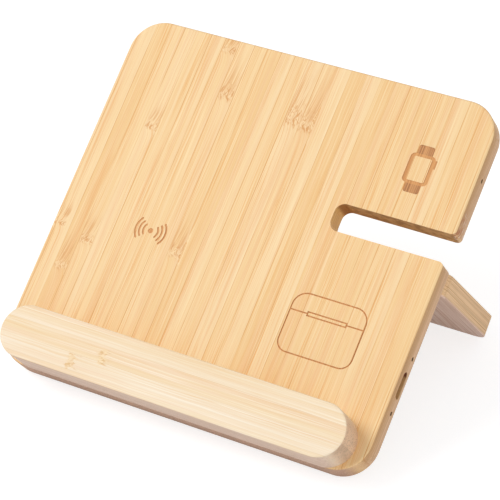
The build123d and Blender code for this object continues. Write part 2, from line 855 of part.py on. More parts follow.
with BuildPart() as watch_magnet:
    board_disc(watch_place_u, watch_place_v, watch_magnet_radius, (front_wall, watch_coil_back))

pcb_middle_u = pcb_left + pcb_width / 2
pcb_screw_v = [inlet_v + end * (pcb_length / 2 - pcb_screw_inset) for end in (-1, 1)]

with BuildPart() as main_pcb:
    board_block((pcb_left, pcb_right), pcb_v, (pcb_front_depth, pcb_back_depth), radius=pcb_corner_radius)
    for screw_v in pcb_screw_v:
        board_disc(
            pcb_middle_u,
            screw_v,
            screw_radius + screw_clearance,
            (pcb_front_depth - overrun, pcb_back_depth + overrun),
            Mode.SUBTRACT,
        )

with BuildPart() as pcb_screws:
    for screw_v in pcb_screw_v:
        board_disc(pcb_middle_u, screw_v, screw_radius, (pcb_back_depth - pcb_screw_length, pcb_back_depth))
        board_disc(
            pcb_middle_u,
            screw_v,
            screw_head_radius,
            (pcb_back_depth, pcb_back_depth + pcb_screw_head_thickness),
        )

with BuildPart() as usb_shell:
    with BuildSketch(side_plane(shell_mouth, inlet_v, shell_depth)):
        SlotOverall(shell_length, shell_height)
        SlotOverall(shell_length - 2 * shell_wall, shell_height - 2 * shell_wall, mode=Mode.SUBTRACT)
    extrude(amount=-shell_reach)

with BuildPart() as usb_tongue:
    base_plane = side_plane(shell_mouth - shell_reach, inlet_v, shell_depth)
    with BuildSketch(base_plane):
        inner_gap = shell_wall + shell_corner_gap
        SlotOverall(shell_length - 2 * inner_gap, shell_height - 2 * inner_gap)
    extrude(amount=tongue_base_reach)
    with BuildSketch(base_plane):
        Rectangle(tongue_length, tongue_thickness)
    extrude(amount=shell_reach - tongue_recess)

with BuildPart() as pcb_chips:
    for row in (-1, 1):
        middle_u = pcb_left + chip_inset
        middle_v = inlet_v + row * chip_spacing / 2
        board_block(
            (middle_u - chip_size / 2, middle_u + chip_size / 2),
            (middle_v - chip_size / 2, middle_v + chip_size / 2),
            (pcb_front_depth - chip_height, pcb_front_depth),
        )

with BuildPart() as pcb_inductors:
    for row in (-1, 1):
        middle_u = pcb_left + inductor_inset
        middle_v = inlet_v + row * inductor_spacing / 2
        board_block(
            (middle_u - inductor_size / 2, middle_u + inductor_size / 2),
            (middle_v - inductor_size / 2, middle_v + inductor_size / 2),
            (pcb_front_depth - inductor_height, pcb_front_depth),
            radius=inductor_corner_radius,
        )

with BuildPart() as pcb_capacitors:
    for index in range(capacitor_count):
        middle_u = pcb_left + capacitor_inset
        middle_v = inlet_v + (index - (capacitor_count - 1) / 2) * capacitor_spacing - capacitor_drop
        board_block(
            (middle_u - capacitor_length / 2, middle_u + capacitor_length / 2),
            (middle_v - capacitor_width / 2, middle_v + capacitor_width / 2),
            (pcb_front_depth - capacitor_height, pcb_front_depth),
        )

with BuildPart() as lead_connectors:
    for lane in (earbuds_lane_v, phone_lane_v, watch_lane_v):
        board_block(
            (connector_left, connector_left + connector_length),
            (lane - connector_width / 2, lane + connector_width / 2),
            (pcb_front_depth - connector_height, pcb_front_depth),
        )

with BuildPart() as port_leds:
    for lamp_v, lamp_depth in guide_places[:2]:
        board_block(
            (led_right - led_length, led_right),
            (lamp_v - led_width / 2, lamp_v + led_width / 2),
            (pcb_front_depth - led_height, pcb_front_depth),
        )

with BuildPart() as watch_pcb:
    board_block(
        (watch_pcb_left, watch_pcb_right),
        watch_pcb_v,
        (watch_pcb_floor, watch_pcb_back),
        radius=pcb_corner_radius,
    )

with BuildPart() as watch_driver_chip:
    chip_v = watch_pcb_v[1] - watch_chip_drop
    board_block(
        (watch_pcb_right - watch_chip_inset, watch_pcb_right - watch_chip_inset + watch_chip_width),
        (chip_v - watch_chip_width / 2, chip_v + watch_chip_width / 2),
        (watch_pcb_back, watch_pcb_back + watch_chip_height),
    )

with BuildPart() as watch_led:
    board_block(
        (led_right - led_length, led_right),
        (watch_pinhole_v - led_width / 2, watch_pinhole_v + led_width / 2),
        (watch_pcb_back, watch_pcb_back + led_height),
    )

with BuildPart() as watch_connectors:
    for lane in (watch_place_v, watch_coil_lane_v):
        board_block(
            (watch_pcb_left + connector_inset, watch_pcb_left + connector_inset + connector_length),
            (lane - watch_connector_width / 2, lane + watch_connector_width / 2),
            (watch_pcb_back, watch_pcb_back + watch_connector_height),
        )

with BuildPart() as light_guides:
    for guide_v, guide_depth in guide_places:
        with BuildSketch(side_plane(pocket_right, guide_v, guide_depth)):
            Circle(pinhole_diameter / 2 - guide_clearance)
    extrude(amount=side_wall - pinhole_recess)


def lead(points, drops):
    """One insulated lead through the points, its last bend tighter where it drops to a coil."""
    stops = [board_point(*point) for point in points]
    bends = [lead_bend_radius] * (len(points) - 2)
    if drops:
        bends[-1] = lead_drop_bend_radius
    with BuildLine() as route:
        FilletPolyline(*stops, radius=bends)
    with BuildSketch(Plane(origin=route.line @ 0, z_dir=route.line % 0)) as section:
        Circle(lead_diameter / 2)
    sweep(section.sketch, path=route.wires()[0])


def drop_at(landing, order):
    """u where a lead of a pair goes down to the coil: the deeper lead lands further left."""
    return landing + (0.5 - order) * lead_drop_spacing


with BuildPart() as phone_leads:
    for order, depth in enumerate(lead_depths):
        landing = drop_at(phone_landing, order)
        stops = [
            (connector_left, phone_lane_v, depth),
            (phone_lane_u, phone_lane_v, depth),
            (phone_lane_u, phone_place_v, depth),
            (landing, phone_place_v, depth),
            (landing, phone_place_v, phone_coil_back),
        ]
        lead(stops, True)

with BuildPart() as earbuds_leads:
    for order, depth in enumerate(lead_depths):
        landing = drop_at(earbuds_landing, order)
        stops = [
            (connector_left, earbuds_lane_v, depth),
            (landing, earbuds_lane_v, depth),
            (landing, earbuds_lane_v, earbuds_coil_back),
        ]
        lead(stops, True)

with BuildPart() as watch_leads:
    for depth in lead_depths:
        stops = [
            (connector_left, watch_lane_v, depth),
            (watch_lane_u, watch_lane_v, depth),
            (watch_lane_u, watch_place_v, depth),
            (watch_pcb_left + connector_inset, watch_place_v, depth),
        ]
        lead(stops, False)

with BuildPart() as watch_coil_leads:
    for order, depth in enumerate(lead_depths):
        landing = drop_at(watch_landing, order)
        stops = [
            (watch_pcb_left + connector_inset, watch_coil_lane_v, depth),
            (landing, watch_coil_lane_v, depth),
            (landing, watch_coil_lane_v, watch_coil_back),
        ]
        lead(stops, True)

pieces = {
    "main_board": main_board,
    "front_ledge": front_ledge,
    "ledge_dowels": ledge_dowels,
    "support_leg": support_leg,
    "left_hinge_board_leaf": left_hinge_board_leaf,
    "right_hinge_board_leaf": right_hinge_board_leaf,
    "left_hinge_leg_leaf": left_hinge_leg_leaf,
    "right_hinge_leg_leaf": right_hinge_leg_leaf,
    "left_hinge_pin": left_hinge_pin,
    "right_hinge_pin": right_hinge_pin,
    "hinge_board_screws": hinge_board_screws,
    "hinge_leg_screws": hinge_leg_screws,
    "back_cover": back_cover,
    "cover_screws": cover_screws,
    "board_feet": board_feet,
    "leg_feet": leg_feet,
    "phone_coil": phone_coil,
    "phone_ferrite": phone_ferrite,
    "earbuds_coil": earbuds_coil,
    "earbuds_ferrite": earbuds_ferrite,
    "watch_coil": watch_coil,
    "watch_ferrite": watch_ferrite,
    "watch_magnet": watch_magnet,
    "main_pcb": main_pcb,
    "pcb_screws": pcb_screws,
    "usb_shell": usb_shell,
    "usb_tongue": usb_tongue,
    "pcb_chips": pcb_chips,
    "pcb_inductors": pcb_inductors,
    "pcb_capacitors": pcb_capacitors,
    "lead_connectors": lead_connectors,
    "port_leds": port_leds,
    "watch_pcb": watch_pcb,
    "watch_driver_chip": watch_driver_chip,
    "watch_led": watch_led,
    "watch_connectors": watch_connectors,
    "light_guides": light_guides,
    "phone_leads": phone_leads,
    "earbuds_leads": earbuds_leads,
    "watch_leads": watch_leads,
    "watch_coil_leads": watch_coil_leads,
}

os.makedirs("parts", exist_ok=True)
for name, piece in pieces.items():
    piece.part.label = name
    export_step(piece.part, f"parts/{name}.step")

print(f"tilt {math.degrees(tilt):.2f} degrees")
for name, piece in pieces.items():
    box = piece.part.bounding_box()
    count = len(piece.part.solids())
    print(f"{name}: {box.size.X:.1f} x {box.size.Y:.1f} x {box.size.Z:.1f}, {count} solids")
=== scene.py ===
# %% [markdown]
# # A bamboo charging stand, dressed in Blender
# The stand is a tilted bamboo board with a ledge, a strap slot and a folding leg.
# Its solids come from CAD and stay where they are. Blender gives them their finishes:
# strips of bamboo, burnt pictograms, steel hinges, rubber feet and the electronics inside.

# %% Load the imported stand
import math
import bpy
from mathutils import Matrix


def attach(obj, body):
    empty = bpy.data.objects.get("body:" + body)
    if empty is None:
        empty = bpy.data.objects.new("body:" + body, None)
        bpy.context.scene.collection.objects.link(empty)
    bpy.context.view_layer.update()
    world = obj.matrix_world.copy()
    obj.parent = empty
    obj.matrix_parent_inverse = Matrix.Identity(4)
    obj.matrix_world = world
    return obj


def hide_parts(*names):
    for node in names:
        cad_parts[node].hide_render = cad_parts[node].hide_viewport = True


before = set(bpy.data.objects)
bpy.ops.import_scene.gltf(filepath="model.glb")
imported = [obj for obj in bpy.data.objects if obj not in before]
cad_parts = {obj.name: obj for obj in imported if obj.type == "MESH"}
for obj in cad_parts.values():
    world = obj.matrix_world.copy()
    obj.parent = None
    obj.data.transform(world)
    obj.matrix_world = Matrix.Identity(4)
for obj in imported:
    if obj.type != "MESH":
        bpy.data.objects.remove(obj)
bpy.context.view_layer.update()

from types import SimpleNamespace

import bmesh
import bpy
import numpy as np
from mathutils import Matrix, Vector

# %% [markdown]
# ## The board's own coordinates
# The board leans back by almost 40 degrees, so a pattern in world coordinates would cut across
# its grain. Everything on it is easier to say in millimetres on the board itself: across from the
# left side, along from the bottom edge up the slope, and out of the front face.
# Three unit vectors and one corner are all that this needs.

# %% Directions on the board and on the leg
TILT = math.radians(39.807)
LEG_TILT = TILT + math.radians(4.0)
BOARD_CORNER = Vector((-90.0, -63.656, 8.642))       # left end of the bottom edge, front face, mm
ACROSS = Vector((1.0, 0.0, 0.0))
UP_SLOPE = Vector((0.0, math.cos(TILT), math.sin(TILT)))
OUT_OF_FRONT = Vector((0.0, -math.sin(TILT), math.cos(TILT)))


def on_board(across, along, out=0.0):
    """World place in metres of a point given in mm on the board: corner + across + along + out."""
    place = BOARD_CORNER + ACROSS * across + UP_SLOPE * along + OUT_OF_FRONT * out
    return place / 1000.0


print("top right corner of the board:", [round(v, 4) for v in on_board(180, 170)])

# %% [markdown]
# ## The camera
# The photograph was taken with a long lens from the right, above the front. A camera could be
# aimed by eye, but one that was fitted to the stand's corners puts every edge where the
# photograph has it. It is written as a place and three directions: right, down and forward.

# %% Camera at the photograph's place
LENS = 167.36                                        # mm, on a sensor 36 mm wide
CAMERA_PLACE = (511.21, -135.49, 884.48)             # across, along and out, in mm
CAMERA_ROWS = ((0.8706759, 0.3745578, -0.3187946),   # its right, on the board's directions
               (0.2626281, -0.9020445, -0.3425525),  # its down
               (-0.4158726, 0.2145278, -0.8837578))  # its forward

camera_data = bpy.data.cameras.new("photo_camera")
camera_data.lens = LENS
camera_data.sensor_width = 36.0
camera_data.clip_start = 0.01
camera = bpy.data.objects.new("photo_camera", camera_data)
bpy.context.scene.collection.objects.link(camera)
bpy.context.scene.camera = camera

right, down, forward = (ACROSS * row[0] + UP_SLOPE * row[1] + OUT_OF_FRONT * row[2]
                        for row in CAMERA_ROWS)
camera_turn = Matrix((right, -down, -forward)).transposed().to_4x4()
camera.matrix_world = Matrix.Translation(on_board(*CAMERA_PLACE)) @ camera_turn
print("camera at", [round(v, 3) for v in camera.location],
      " distance", round(camera.location.length, 3))

# %% [markdown]
# ## Helpers for finishes
# A Blender material is a graph of nodes. Written out in full it is long and hard to read, so
# small helpers keep it to a line each: one adds a node and fills its inputs, one does a sum.
# Colours are given as the eye sees them, 0 to 255, and turned into the linear values that
# shaders work in.

# %% One node, one sum, one colour
def add(tree, kind, inputs=None, **settings):
    """Adds a shader node; each input is a plain value, or a socket that is linked to it."""
    made = tree.nodes.new("ShaderNode" + kind)
    for name, value in settings.items():
        setattr(made, name, value)
    for name, value in (inputs or {}).items():
        if isinstance(value, bpy.types.NodeSocket):
            tree.links.new(value, made.inputs[name])
        else:
            made.inputs[name].default_value = value
    return made


def calc(tree, operation, *values):
    """One Math node, such as calc(tree, "ADD", a, b)."""
    return add(tree, "Math", dict(enumerate(values)), operation=operation).outputs[0]


def eye(red, green, blue):
    """Linear colour of a colour as the eye sees it: ((c / 255 + 0.055) / 1.055) ** 2.4."""
    seen = np.array([red, green, blue]) / 255.0
    linear = np.where(seen <= 0.04045, seen / 12.92, ((seen + 0.055) / 1.055) ** 2.4)
    return (*(float(v) for v in linear), 1.0)


def shade(tint, share):
    """Linear colour of a tint whose three values are multiplied by share, at most 255."""
    return eye(*(min(255, share * v) for v in tint))


print("a honey colour in linear values:", [round(v, 3) for v in eye(245, 208, 156)])

# %% [markdown]
# Every finish is layered: a pattern says how much of the next colour lies on the last one. So the
# helpers that are used most mix two colours and fade a value in smoothly. A hard step would
# leave jagged edges; a smooth one is as soft as wood is.

# %% Mixing, fading and pressing in
def mixed(tree, amount, first, second):
    """Colour first goes to second by amount, 0 to 1."""
    return add(tree, "Mix", {0: amount, 6: first, 7: second}, data_type="RGBA").outputs[2]


def fade(tree, value, start, end, low=0.0, high=1.0):
    """Goes smoothly from low to high while value goes from start to end."""
    made = add(tree, "MapRange", {"Value": value, "From Min": start, "From Max": end,
                                  "To Min": low, "To Max": high},
               interpolation_type="SMOOTHSTEP")
    return made.outputs[0]


def finish(name):
    """A new material with a Principled shader; returns the material, its tree and the shader."""
    material = bpy.data.materials.new(name)
    material.use_nodes = True
    tree = material.node_tree
    shader = next(n for n in tree.nodes if n.type == "BSDF_PRINCIPLED")
    return material, tree, shader


def bumped(tree, shader, height, strength, distance):
    """Presses a height pattern into a finish; distance is the relief's depth in metres."""
    relief = add(tree, "Bump", {"Height": height, "Strength": strength, "Distance": distance})
    tree.links.new(relief.outputs[0], shader.inputs["Normal"])


# %% [markdown]
# ## Light
# The photograph has soft studio light: a broad lamp above on the left lights the front faces,
# and white walls fill the shaded sides. One large area lamp and a dim white world do the same.
# The world could light everything, but then the sides would be as bright as the front.

# %% A broad lamp and a low fill lamp
LAMP_AIM = Vector((0.0, 0.0, 0.05))


def soft_lamp(name, place, size, watts, tint):
    """A square area lamp at place (metres) that faces the middle of the stand."""
    data = bpy.data.lights.new(name, "AREA")
    data.shape = "SQUARE"
    data.size = size
    data.energy = watts
    data.color = tint
    lamp = bpy.data.objects.new(name, data)
    bpy.context.scene.collection.objects.link(lamp)
    aim = LAMP_AIM - Vector(place)
    lamp.matrix_world = (Matrix.Translation(place)
                         @ aim.to_track_quat("-Z", "Y").to_matrix().to_4x4())
    return lamp


key_lamp = soft_lamp("key_lamp", place=(-1.5, -1.2, 2.1), size=1.2, watts=34.6,
                     tint=(1.0, 0.98, 0.95))
fill_lamp = soft_lamp("fill_lamp", place=(1.5, -0.9, 0.7), size=1.2, watts=6.0,
                      tint=(0.98, 0.98, 1.0))
print("lamps:", key_lamp.name, fill_lamp.name)

# %% [markdown]
# The room has to be dim where it lights the wood, and yet white where it is only seen. Light Path
# tells the two apart: it says what kind of ray asks for the colour.

# %% A dim room that looks white
ROOM_TINT = (0.975, 0.97, 1.0, 1.0)
ROOM_STRENGTH = 0.55
WHITE = (1.0, 1.0, 1.0, 1.0)


def seen_by_eye(tree):
    """1 for rays that come straight from the camera, by gloss or through glass, 0 for others."""
    ray = add(tree, "LightPath")
    return calc(tree, "MAXIMUM", ray.outputs["Is Camera Ray"],
                calc(tree, "MAXIMUM", ray.outputs["Is Glossy Ray"],
                     ray.outputs["Is Transmission Ray"]))


world = bpy.data.worlds.new("white_room")
bpy.context.scene.world = world
world.use_nodes = True
room = world.node_tree
room.nodes.clear()
room_light = add(room, "Background", {"Color": ROOM_TINT, "Strength": ROOM_STRENGTH})
room_seen = add(room, "Background", {"Color": WHITE})
room_mix = add(room, "MixShader", {0: seen_by_eye(room), 1: room_light.outputs[0],
                                   2: room_seen.outputs[0]})
add(room, "OutputWorld", {"Surface": room_mix.outputs[0]})
print("world:", world.name, " nodes:", len(room.nodes))

# %% [markdown]
# ## Bamboo
# A bamboo board is glued up from strips about 7 mm wide that run its whole length. Each strip
# has its own tint, fine fibres along it, and now and then a knuckle, where the cane had a joint
# and the fibres swirl. Cut across, the fibres show as dots, and the cut is darker.
# An image of bamboo would be stretched over the edges. A pattern that fills the solid isn't:
# the same strips come out on the front, the sides and the cut ends, as they do in real wood.
# The first helper turns Object coordinates into millimetres across, along and out of the grain.

# %% Grain coordinates
def grain_place(tree, turn):
    """Object coordinates as mm: scaled by 1000, turned, and moved so that BOARD_CORNER is 0.

    The second result says how squarely the surface faces across and along, 0 to 1.
    """
    rotation = Matrix.Rotation(turn[2], 3, "Z") @ Matrix.Rotation(turn[0], 3, "X")
    start = -(rotation @ BOARD_CORNER)
    where = add(tree, "TexCoord")
    place = add(tree, "Mapping", {"Vector": where.outputs["Object"], "Location": start,
                                  "Rotation": turn, "Scale": (1000.0, 1000.0, 1000.0)})
    facing = add(tree, "Mapping", {"Vector": where.outputs["Normal"], "Rotation": turn})
    parts = add(tree, "SeparateXYZ", {0: place.outputs[0]})
    faces = add(tree, "SeparateXYZ", {0: facing.outputs[0]})
    return tuple(parts.outputs), tuple(calc(tree, "ABSOLUTE", way) for way in faces.outputs[:2])


# %% [markdown]
# A stretched noise is the heart of wood grain: squeezed across the fibres and pulled out along
# them, its blobs become streaks. The strip's number goes in as well, so that a streak stops at
# the glue line instead of running on into the next strip. A noise with a single coordinate does
# for what changes in one direction only.

# %% Streaks along the fibres
STRIP_JUMP = 7.3          # how far the noise jumps from one strip to the next


def streaks(tree, across, along, out, strip, fine, length, detail):
    """Noise at (fine * across, along / length, fine * out), moved on by the strip's number."""
    jump = calc(tree, "MULTIPLY", strip, STRIP_JUMP)
    place = add(tree, "CombineXYZ", {
        0: calc(tree, "MULTIPLY", across, fine),
        1: calc(tree, "MULTIPLY_ADD", along, 1.0 / length, jump),
        2: calc(tree, "MULTIPLY", out, fine)})
    noise = add(tree, "TexNoise", {"Vector": place.outputs[0], "Scale": 1.0, "Detail": detail,
                                   "Roughness": 0.6})
    return noise.outputs[0]


def line_noise(tree, where):
    """Noise that changes with one value only."""
    return add(tree, "TexNoise", {"W": where, "Scale": 1.0}, noise_dimensions="1D").outputs[0]


# %% [markdown]
# At a knuckle the fibres of one strip lean aside, come to a point and lean back. Each knuckle is
# a spot that is level across its strip and pointed along it, long above its point and short
# below it, and the board takes the highest of all its knuckles' spots at each place. A rounded
# spot would only make the fibres wave; the point is what makes the kink, and the steep sides
# keep it in its strip.

# %% The spots of the knuckles
def knuckle_spot(tree, across, along, centre, half_width, half_length):
    """exp(-(dx / half_width)^16 - max(y, -2.5 y)), y = dy / half_length: long above its point."""
    dx = calc(tree, "DIVIDE", calc(tree, "SUBTRACT", across, centre[0]), half_width)
    dy = calc(tree, "DIVIDE", calc(tree, "SUBTRACT", along, centre[1]), half_length)
    steep = calc(tree, "POWER", calc(tree, "ABSOLUTE", dx), 16.0)
    reach = calc(tree, "MAXIMUM", dy, calc(tree, "MULTIPLY", dy, -2.5))
    total = calc(tree, "ADD", steep, reach)
    return calc(tree, "EXPONENT", calc(tree, "MULTIPLY", total, -1.0))


def highest_spot(tree, across, along, knuckles):
    """The highest of the knuckles' spots at each point."""
    highest = 0.0
    for x, y, half_width, half_length in knuckles:
        spot = knuckle_spot(tree, across, along, (x, y), half_width, half_length)
        highest = calc(tree, "MAXIMUM", highest, spot)
    return highest


# %% [markdown]
# Dark threads in the wood are drawn as contour lines: a stretched noise is cut at even levels,
# as a map cuts a hill, and each cut is a thin line. Where the noise is pulled out along the
# grain the lines run straight for centimetres, and where a knuckle pushes it they bend.

# %% Contour lines of a noise
def threads(tree, noise, levels, width):
    """1 on the contour lines of noise * levels, 0 between them; width is a share of a level."""
    level = calc(tree, "PINGPONG", calc(tree, "MULTIPLY", noise, levels), 0.5)
    return fade(tree, level, 0.0, width, 1.0, 0.0)


# %% [markdown]
# The strips come first: each has a number, and that number picks its tint by chance. The glue
# lines wander a little, because the cane was never quite straight, and the strips aren't all
# equally wide. A second, slower noise turns the tint from yellow to peach and back along the
# board.

# %% The strips and their tints
BROAD = (0.6, 90.0, 2.0)  # a streak noise: how fine across, its length in mm and its detail
WARM = (0.28, 160.0, 1.0)
SEAM_WANDER = 0.5         # mm that a glue line strays along its length
UNEVEN_STRIPS = 3.0       # mm of play that a glue line has round its even place
CHANCE_SHARE = 0.72       # how much of a strip's tone is its own
STREAK_SHARE = 1.2        # how much of it comes from broad streaks
TONE_LEVEL = -0.46        # brings the two shares to 0.5 on average


def strip_tones(tree, across, along, out, pushed, strip_width, first_seam, seed, tints):
    """Strip number, place within the strip, its chance value and the colour of its wood."""
    wander = line_noise(tree, calc(tree, "MULTIPLY", along, 0.02))
    uneven = line_noise(tree, calc(tree, "MULTIPLY_ADD", across, 0.045, seed))
    edge = calc(tree, "MULTIPLY_ADD", wander, SEAM_WANDER,
                calc(tree, "SUBTRACT", across, first_seam))
    edge = calc(tree, "MULTIPLY_ADD", calc(tree, "SUBTRACT", uneven, 0.5), UNEVEN_STRIPS, edge)
    count = calc(tree, "DIVIDE", edge, strip_width)
    strip = calc(tree, "FLOOR", count)
    within = calc(tree, "SUBTRACT", count, strip)
    chance = add(tree, "TexWhiteNoise", {"W": calc(tree, "ADD", strip, seed)},
                 noise_dimensions="1D").outputs["Value"]
    broad = streaks(tree, pushed, along, out, strip, *BROAD)
    tone = calc(tree, "MULTIPLY_ADD", chance, CHANCE_SHARE,
                calc(tree, "MULTIPLY_ADD", broad, STREAK_SHARE, TONE_LEVEL))
    ramp = add(tree, "ValToRGB", {"Fac": tone})
    ramp.color_ramp.elements[0].position = 0.05
    ramp.color_ramp.elements[0].color = eye(*tints[0])
    ramp.color_ramp.elements[1].position = 0.95
    ramp.color_ramp.elements[1].color = eye(*tints[2])
    ramp.color_ramp.elements.new(0.5).color = eye(*tints[1])
    warm = streaks(tree, pushed, along, out, strip, *WARM)
    red, green, blue = tints[0]
    peach = eye(red, green - 4, blue + 4)
    colour = mixed(tree, fade(tree, warm, 0.46, 0.70, 0.0, 0.65), ramp.outputs[0], peach)
    return strip, within, chance, colour


# %% [markdown]
# The fibres lie over the strips in three sizes: lines about half a millimetre apart, hairs half
# as wide, and a few long dark threads. The outer side of the cane has more fibres than its inner
# side, so every strip is denser towards one edge. Chance says which one.

# %% Fibres, hairs and threads
FIBRE = (2.4, 70.0, 3.0)
HAIR = (4.6, 40.0, 2.0)
THREAD = (0.75, 260.0, 1.0)


def fibre_lines(tree, along, out, pushed, strip, within, chance, colour, tints, dark):
    """Returns the colour with its fibres, the fibre noise and the dark threads."""
    fibre = streaks(tree, pushed, along, out, strip, *FIBRE)
    hair = streaks(tree, pushed, along, out, strip, *HAIR)
    slow = streaks(tree, pushed, along, out, strip, *THREAD)
    draw = calc(tree, "FRACT", calc(tree, "MULTIPLY", chance, 7.0))
    flip = calc(tree, "GREATER_THAN", draw, 0.5)
    skin = calc(tree, "ABSOLUTE", calc(tree, "SUBTRACT", flip, within))
    dense = fade(tree, skin, 0.10, 1.0, 0.40, 1.40)
    thread = calc(tree, "MULTIPLY", threads(tree, slow, 6.0, 0.10), dense)
    thread = calc(tree, "MULTIPLY", thread, fade(tree, hair, 0.38, 0.58, 0.1, 1.0))

    dark_fibre = calc(tree, "MULTIPLY", fade(tree, fibre, 0.48, 0.74, 0.0, 0.54), dense)
    dark_hair = calc(tree, "MULTIPLY", fade(tree, hair, 0.50, 0.72, 0.0, 0.36), dense)
    palest = eye(*(min(255, 1.02 * v + 4) for v in tints[2]))
    colour = mixed(tree, dark_fibre, colour, dark)
    colour = mixed(tree, fade(tree, fibre, 0.48, 0.28, 0.0, 0.75), colour, palest)
    colour = mixed(tree, dark_hair, colour, dark)
    return mixed(tree, calc(tree, "MULTIPLY", thread, 0.55), colour, dark), fibre, thread


# %% [markdown]
# A glue line is a dark hairline where two strips meet. It fades and comes back along its length,
# and each line does so in its own places, so its number goes into the noise.

# %% Glue lines
GLUE_WIDTH = 0.26         # mm from the middle of a glue line to where it ends


def glue_lines(tree, along, strip, within, strip_width):
    """1 on the glue lines between strips; some are strong and some can hardly be seen."""
    nearest = calc(tree, "MINIMUM", within, calc(tree, "SUBTRACT", 1.0, within))
    line = fade(tree, nearest, 0.0, GLUE_WIDTH / strip_width, 1.0, 0.0)
    number = calc(tree, "ROUND", calc(tree, "ADD", strip, within))
    shift = calc(tree, "MULTIPLY", number, 5.1)
    faint = line_noise(tree, calc(tree, "MULTIPLY_ADD", along, 0.012, shift))
    return calc(tree, "MULTIPLY", line, fade(tree, faint, 0.40, 0.58, 0.25, 1.0))


# %% [markdown]
# Inside a knuckle the wood is crumbled: paler cells with short slanted ridges between them, and
# darker fibres that close in from above. The slant comes from adding a share of the way along
# to the way across, and the crumbs from a noise that is stretched much less than the fibres.

# %% The wood inside a knuckle
CRUMB = (0.80, 4.5, 2.5)
RIDGE_LINES = (0.8, 6.0, 1.0)
CLOSING_FIBRES = (1.1, 30.0, 2.0)
RIDGE_SLANT = 0.34        # mm across for each mm along


def knuckle_wood(tree, along, out, pushed, strip, spot, above, bend, colour, cell, ridge):
    """Returns the colour with the knuckles' pale cells and ridges, and the ridges alone."""
    crumb = streaks(tree, pushed, along, out, strip, *CRUMB)
    heart = calc(tree, "POWER", spot, 1.6)
    ragged = calc(tree, "MULTIPLY_ADD", calc(tree, "SUBTRACT", crumb, 0.5), 1.5, heart)
    core = fade(tree, ragged, 0.45, 0.70)
    slant = calc(tree, "MULTIPLY_ADD", along, RIDGE_SLANT, pushed)
    lines = streaks(tree, slant, along, out, strip, *RIDGE_LINES)
    ridges = calc(tree, "MULTIPLY", threads(tree, lines, 6.0, 0.22), fade(tree, ragged, 0.3, 0.7))
    crumbs = calc(tree, "MULTIPLY", fade(tree, crumb, 0.54, 0.62), fade(tree, heart, 0.22, 0.6))
    both = calc(tree, "MAXIMUM", ridges, crumbs)
    close = streaks(tree, pushed, along, out, strip, *CLOSING_FIBRES)
    closing = calc(tree, "MULTIPLY", fade(tree, close, 0.44, 0.60), fade(tree, above, 0.03, 0.7))

    colour = mixed(tree, calc(tree, "MULTIPLY", closing, 0.26 * bend), colour, ridge)
    colour = mixed(tree, calc(tree, "MULTIPLY", core, 0.55), colour, cell)
    return mixed(tree, calc(tree, "MULTIPLY", both, 0.90), colour, ridge), both


# %% [markdown]
# Cut across, bamboo shows its fibres as brown dots in paler pith, and each strip has its own
# shade. Cells of a Voronoi pattern give the dots: it measures the way to the nearest of many
# scattered points, and a dot is drawn where that way is short.

# %% The cut ends
def cut_end(tree, across, along, out, chance, end_tint):
    """Colour of the end grain, and its dots as a height."""
    place = add(tree, "CombineXYZ", {0: across, 1: calc(tree, "MULTIPLY", along, 0.2), 2: out})
    cells = add(tree, "TexVoronoi", {"Vector": place.outputs[0], "Scale": 1.35})
    dot = fade(tree, cells.outputs["Distance"], 0.16, 0.46, 1.0, 0.0)
    blot = add(tree, "TexNoise", {"Vector": place.outputs[0], "Scale": 0.22, "Detail": 3.0})
    tone = calc(tree, "MULTIPLY_ADD", chance, 0.40,
                fade(tree, blot.outputs[0], 0.35, 0.68, -0.06, 0.16))
    pith = mixed(tree, tone, shade(end_tint, 1.13), shade(end_tint, 0.76))
    return mixed(tree, calc(tree, "MULTIPLY", dot, 0.60), pith, shade(end_tint, 0.70)), dot


# %% [markdown]
# All of these patterns are drawn on fibres that bend: aside at a knuckle, and a little everywhere
# by a slow ripple. Bending the way across once, before any pattern reads it, keeps them together.

# %% The bends of the fibres
RIPPLE = 0.6              # mm


def pushed_aside(tree, across, along, out, spot, bend):
    """The way across with the bends of the fibres: across + bend * spot + RIPPLE * slow noise."""
    place = add(tree, "CombineXYZ", {0: calc(tree, "MULTIPLY", across, 0.12),
                                     1: calc(tree, "MULTIPLY", along, 0.05),
                                     2: calc(tree, "MULTIPLY", out, 0.12)})
    slow = add(tree, "TexNoise", {"Vector": place.outputs[0], "Scale": 1.0, "Detail": 1.0})
    bent = calc(tree, "MULTIPLY_ADD", spot, bend, across)
    return calc(tree, "MULTIPLY_ADD", slow.outputs[0], RIPPLE, bent)


# %% [markdown]
# The finish puts these together in the order in which the eye sees them: strips, fibres, glue
# lines, knuckles, then the side grain, the cut ends and whatever is burnt in or painted as shade.
# Roughness and relief follow the same fibres, so that the satin sheen breaks up along the grain.
# What is burnt in, and where shade is painted, differs from piece to piece, so the finish takes a
# function for it and hands it the wood: the place in it, its fibres, and where its sides and ends
# are.

# %% The bamboo finish
CELL = (250, 220, 172)                               # a knuckle's pale cells
RIDGE = (219, 157, 92)                               # its ridges
END_TINT = (176, 140, 100)                           # cut ends
SIDE_TINTS = ((199, 148, 93), (226, 184, 148))       # sides at the front, and 10 mm deeper
ABOVE = 5.0                                          # mm from a knuckle to its dark fibres
SATIN = 0.35                                         # how strongly the surface mirrors
ROUGHNESS = (0.50, 0.62)                             # between the fibres, and on them
ROUGHER_CUT = 0.16                                   # what a cut end adds to that
RELIEF = 0.0001                                      # metres
SEAM_SINKS = -0.45                                   # shares of the relief
THREAD_SINKS = -0.35
RIDGE_SINKS = -0.4
DOT_SINKS = -0.5


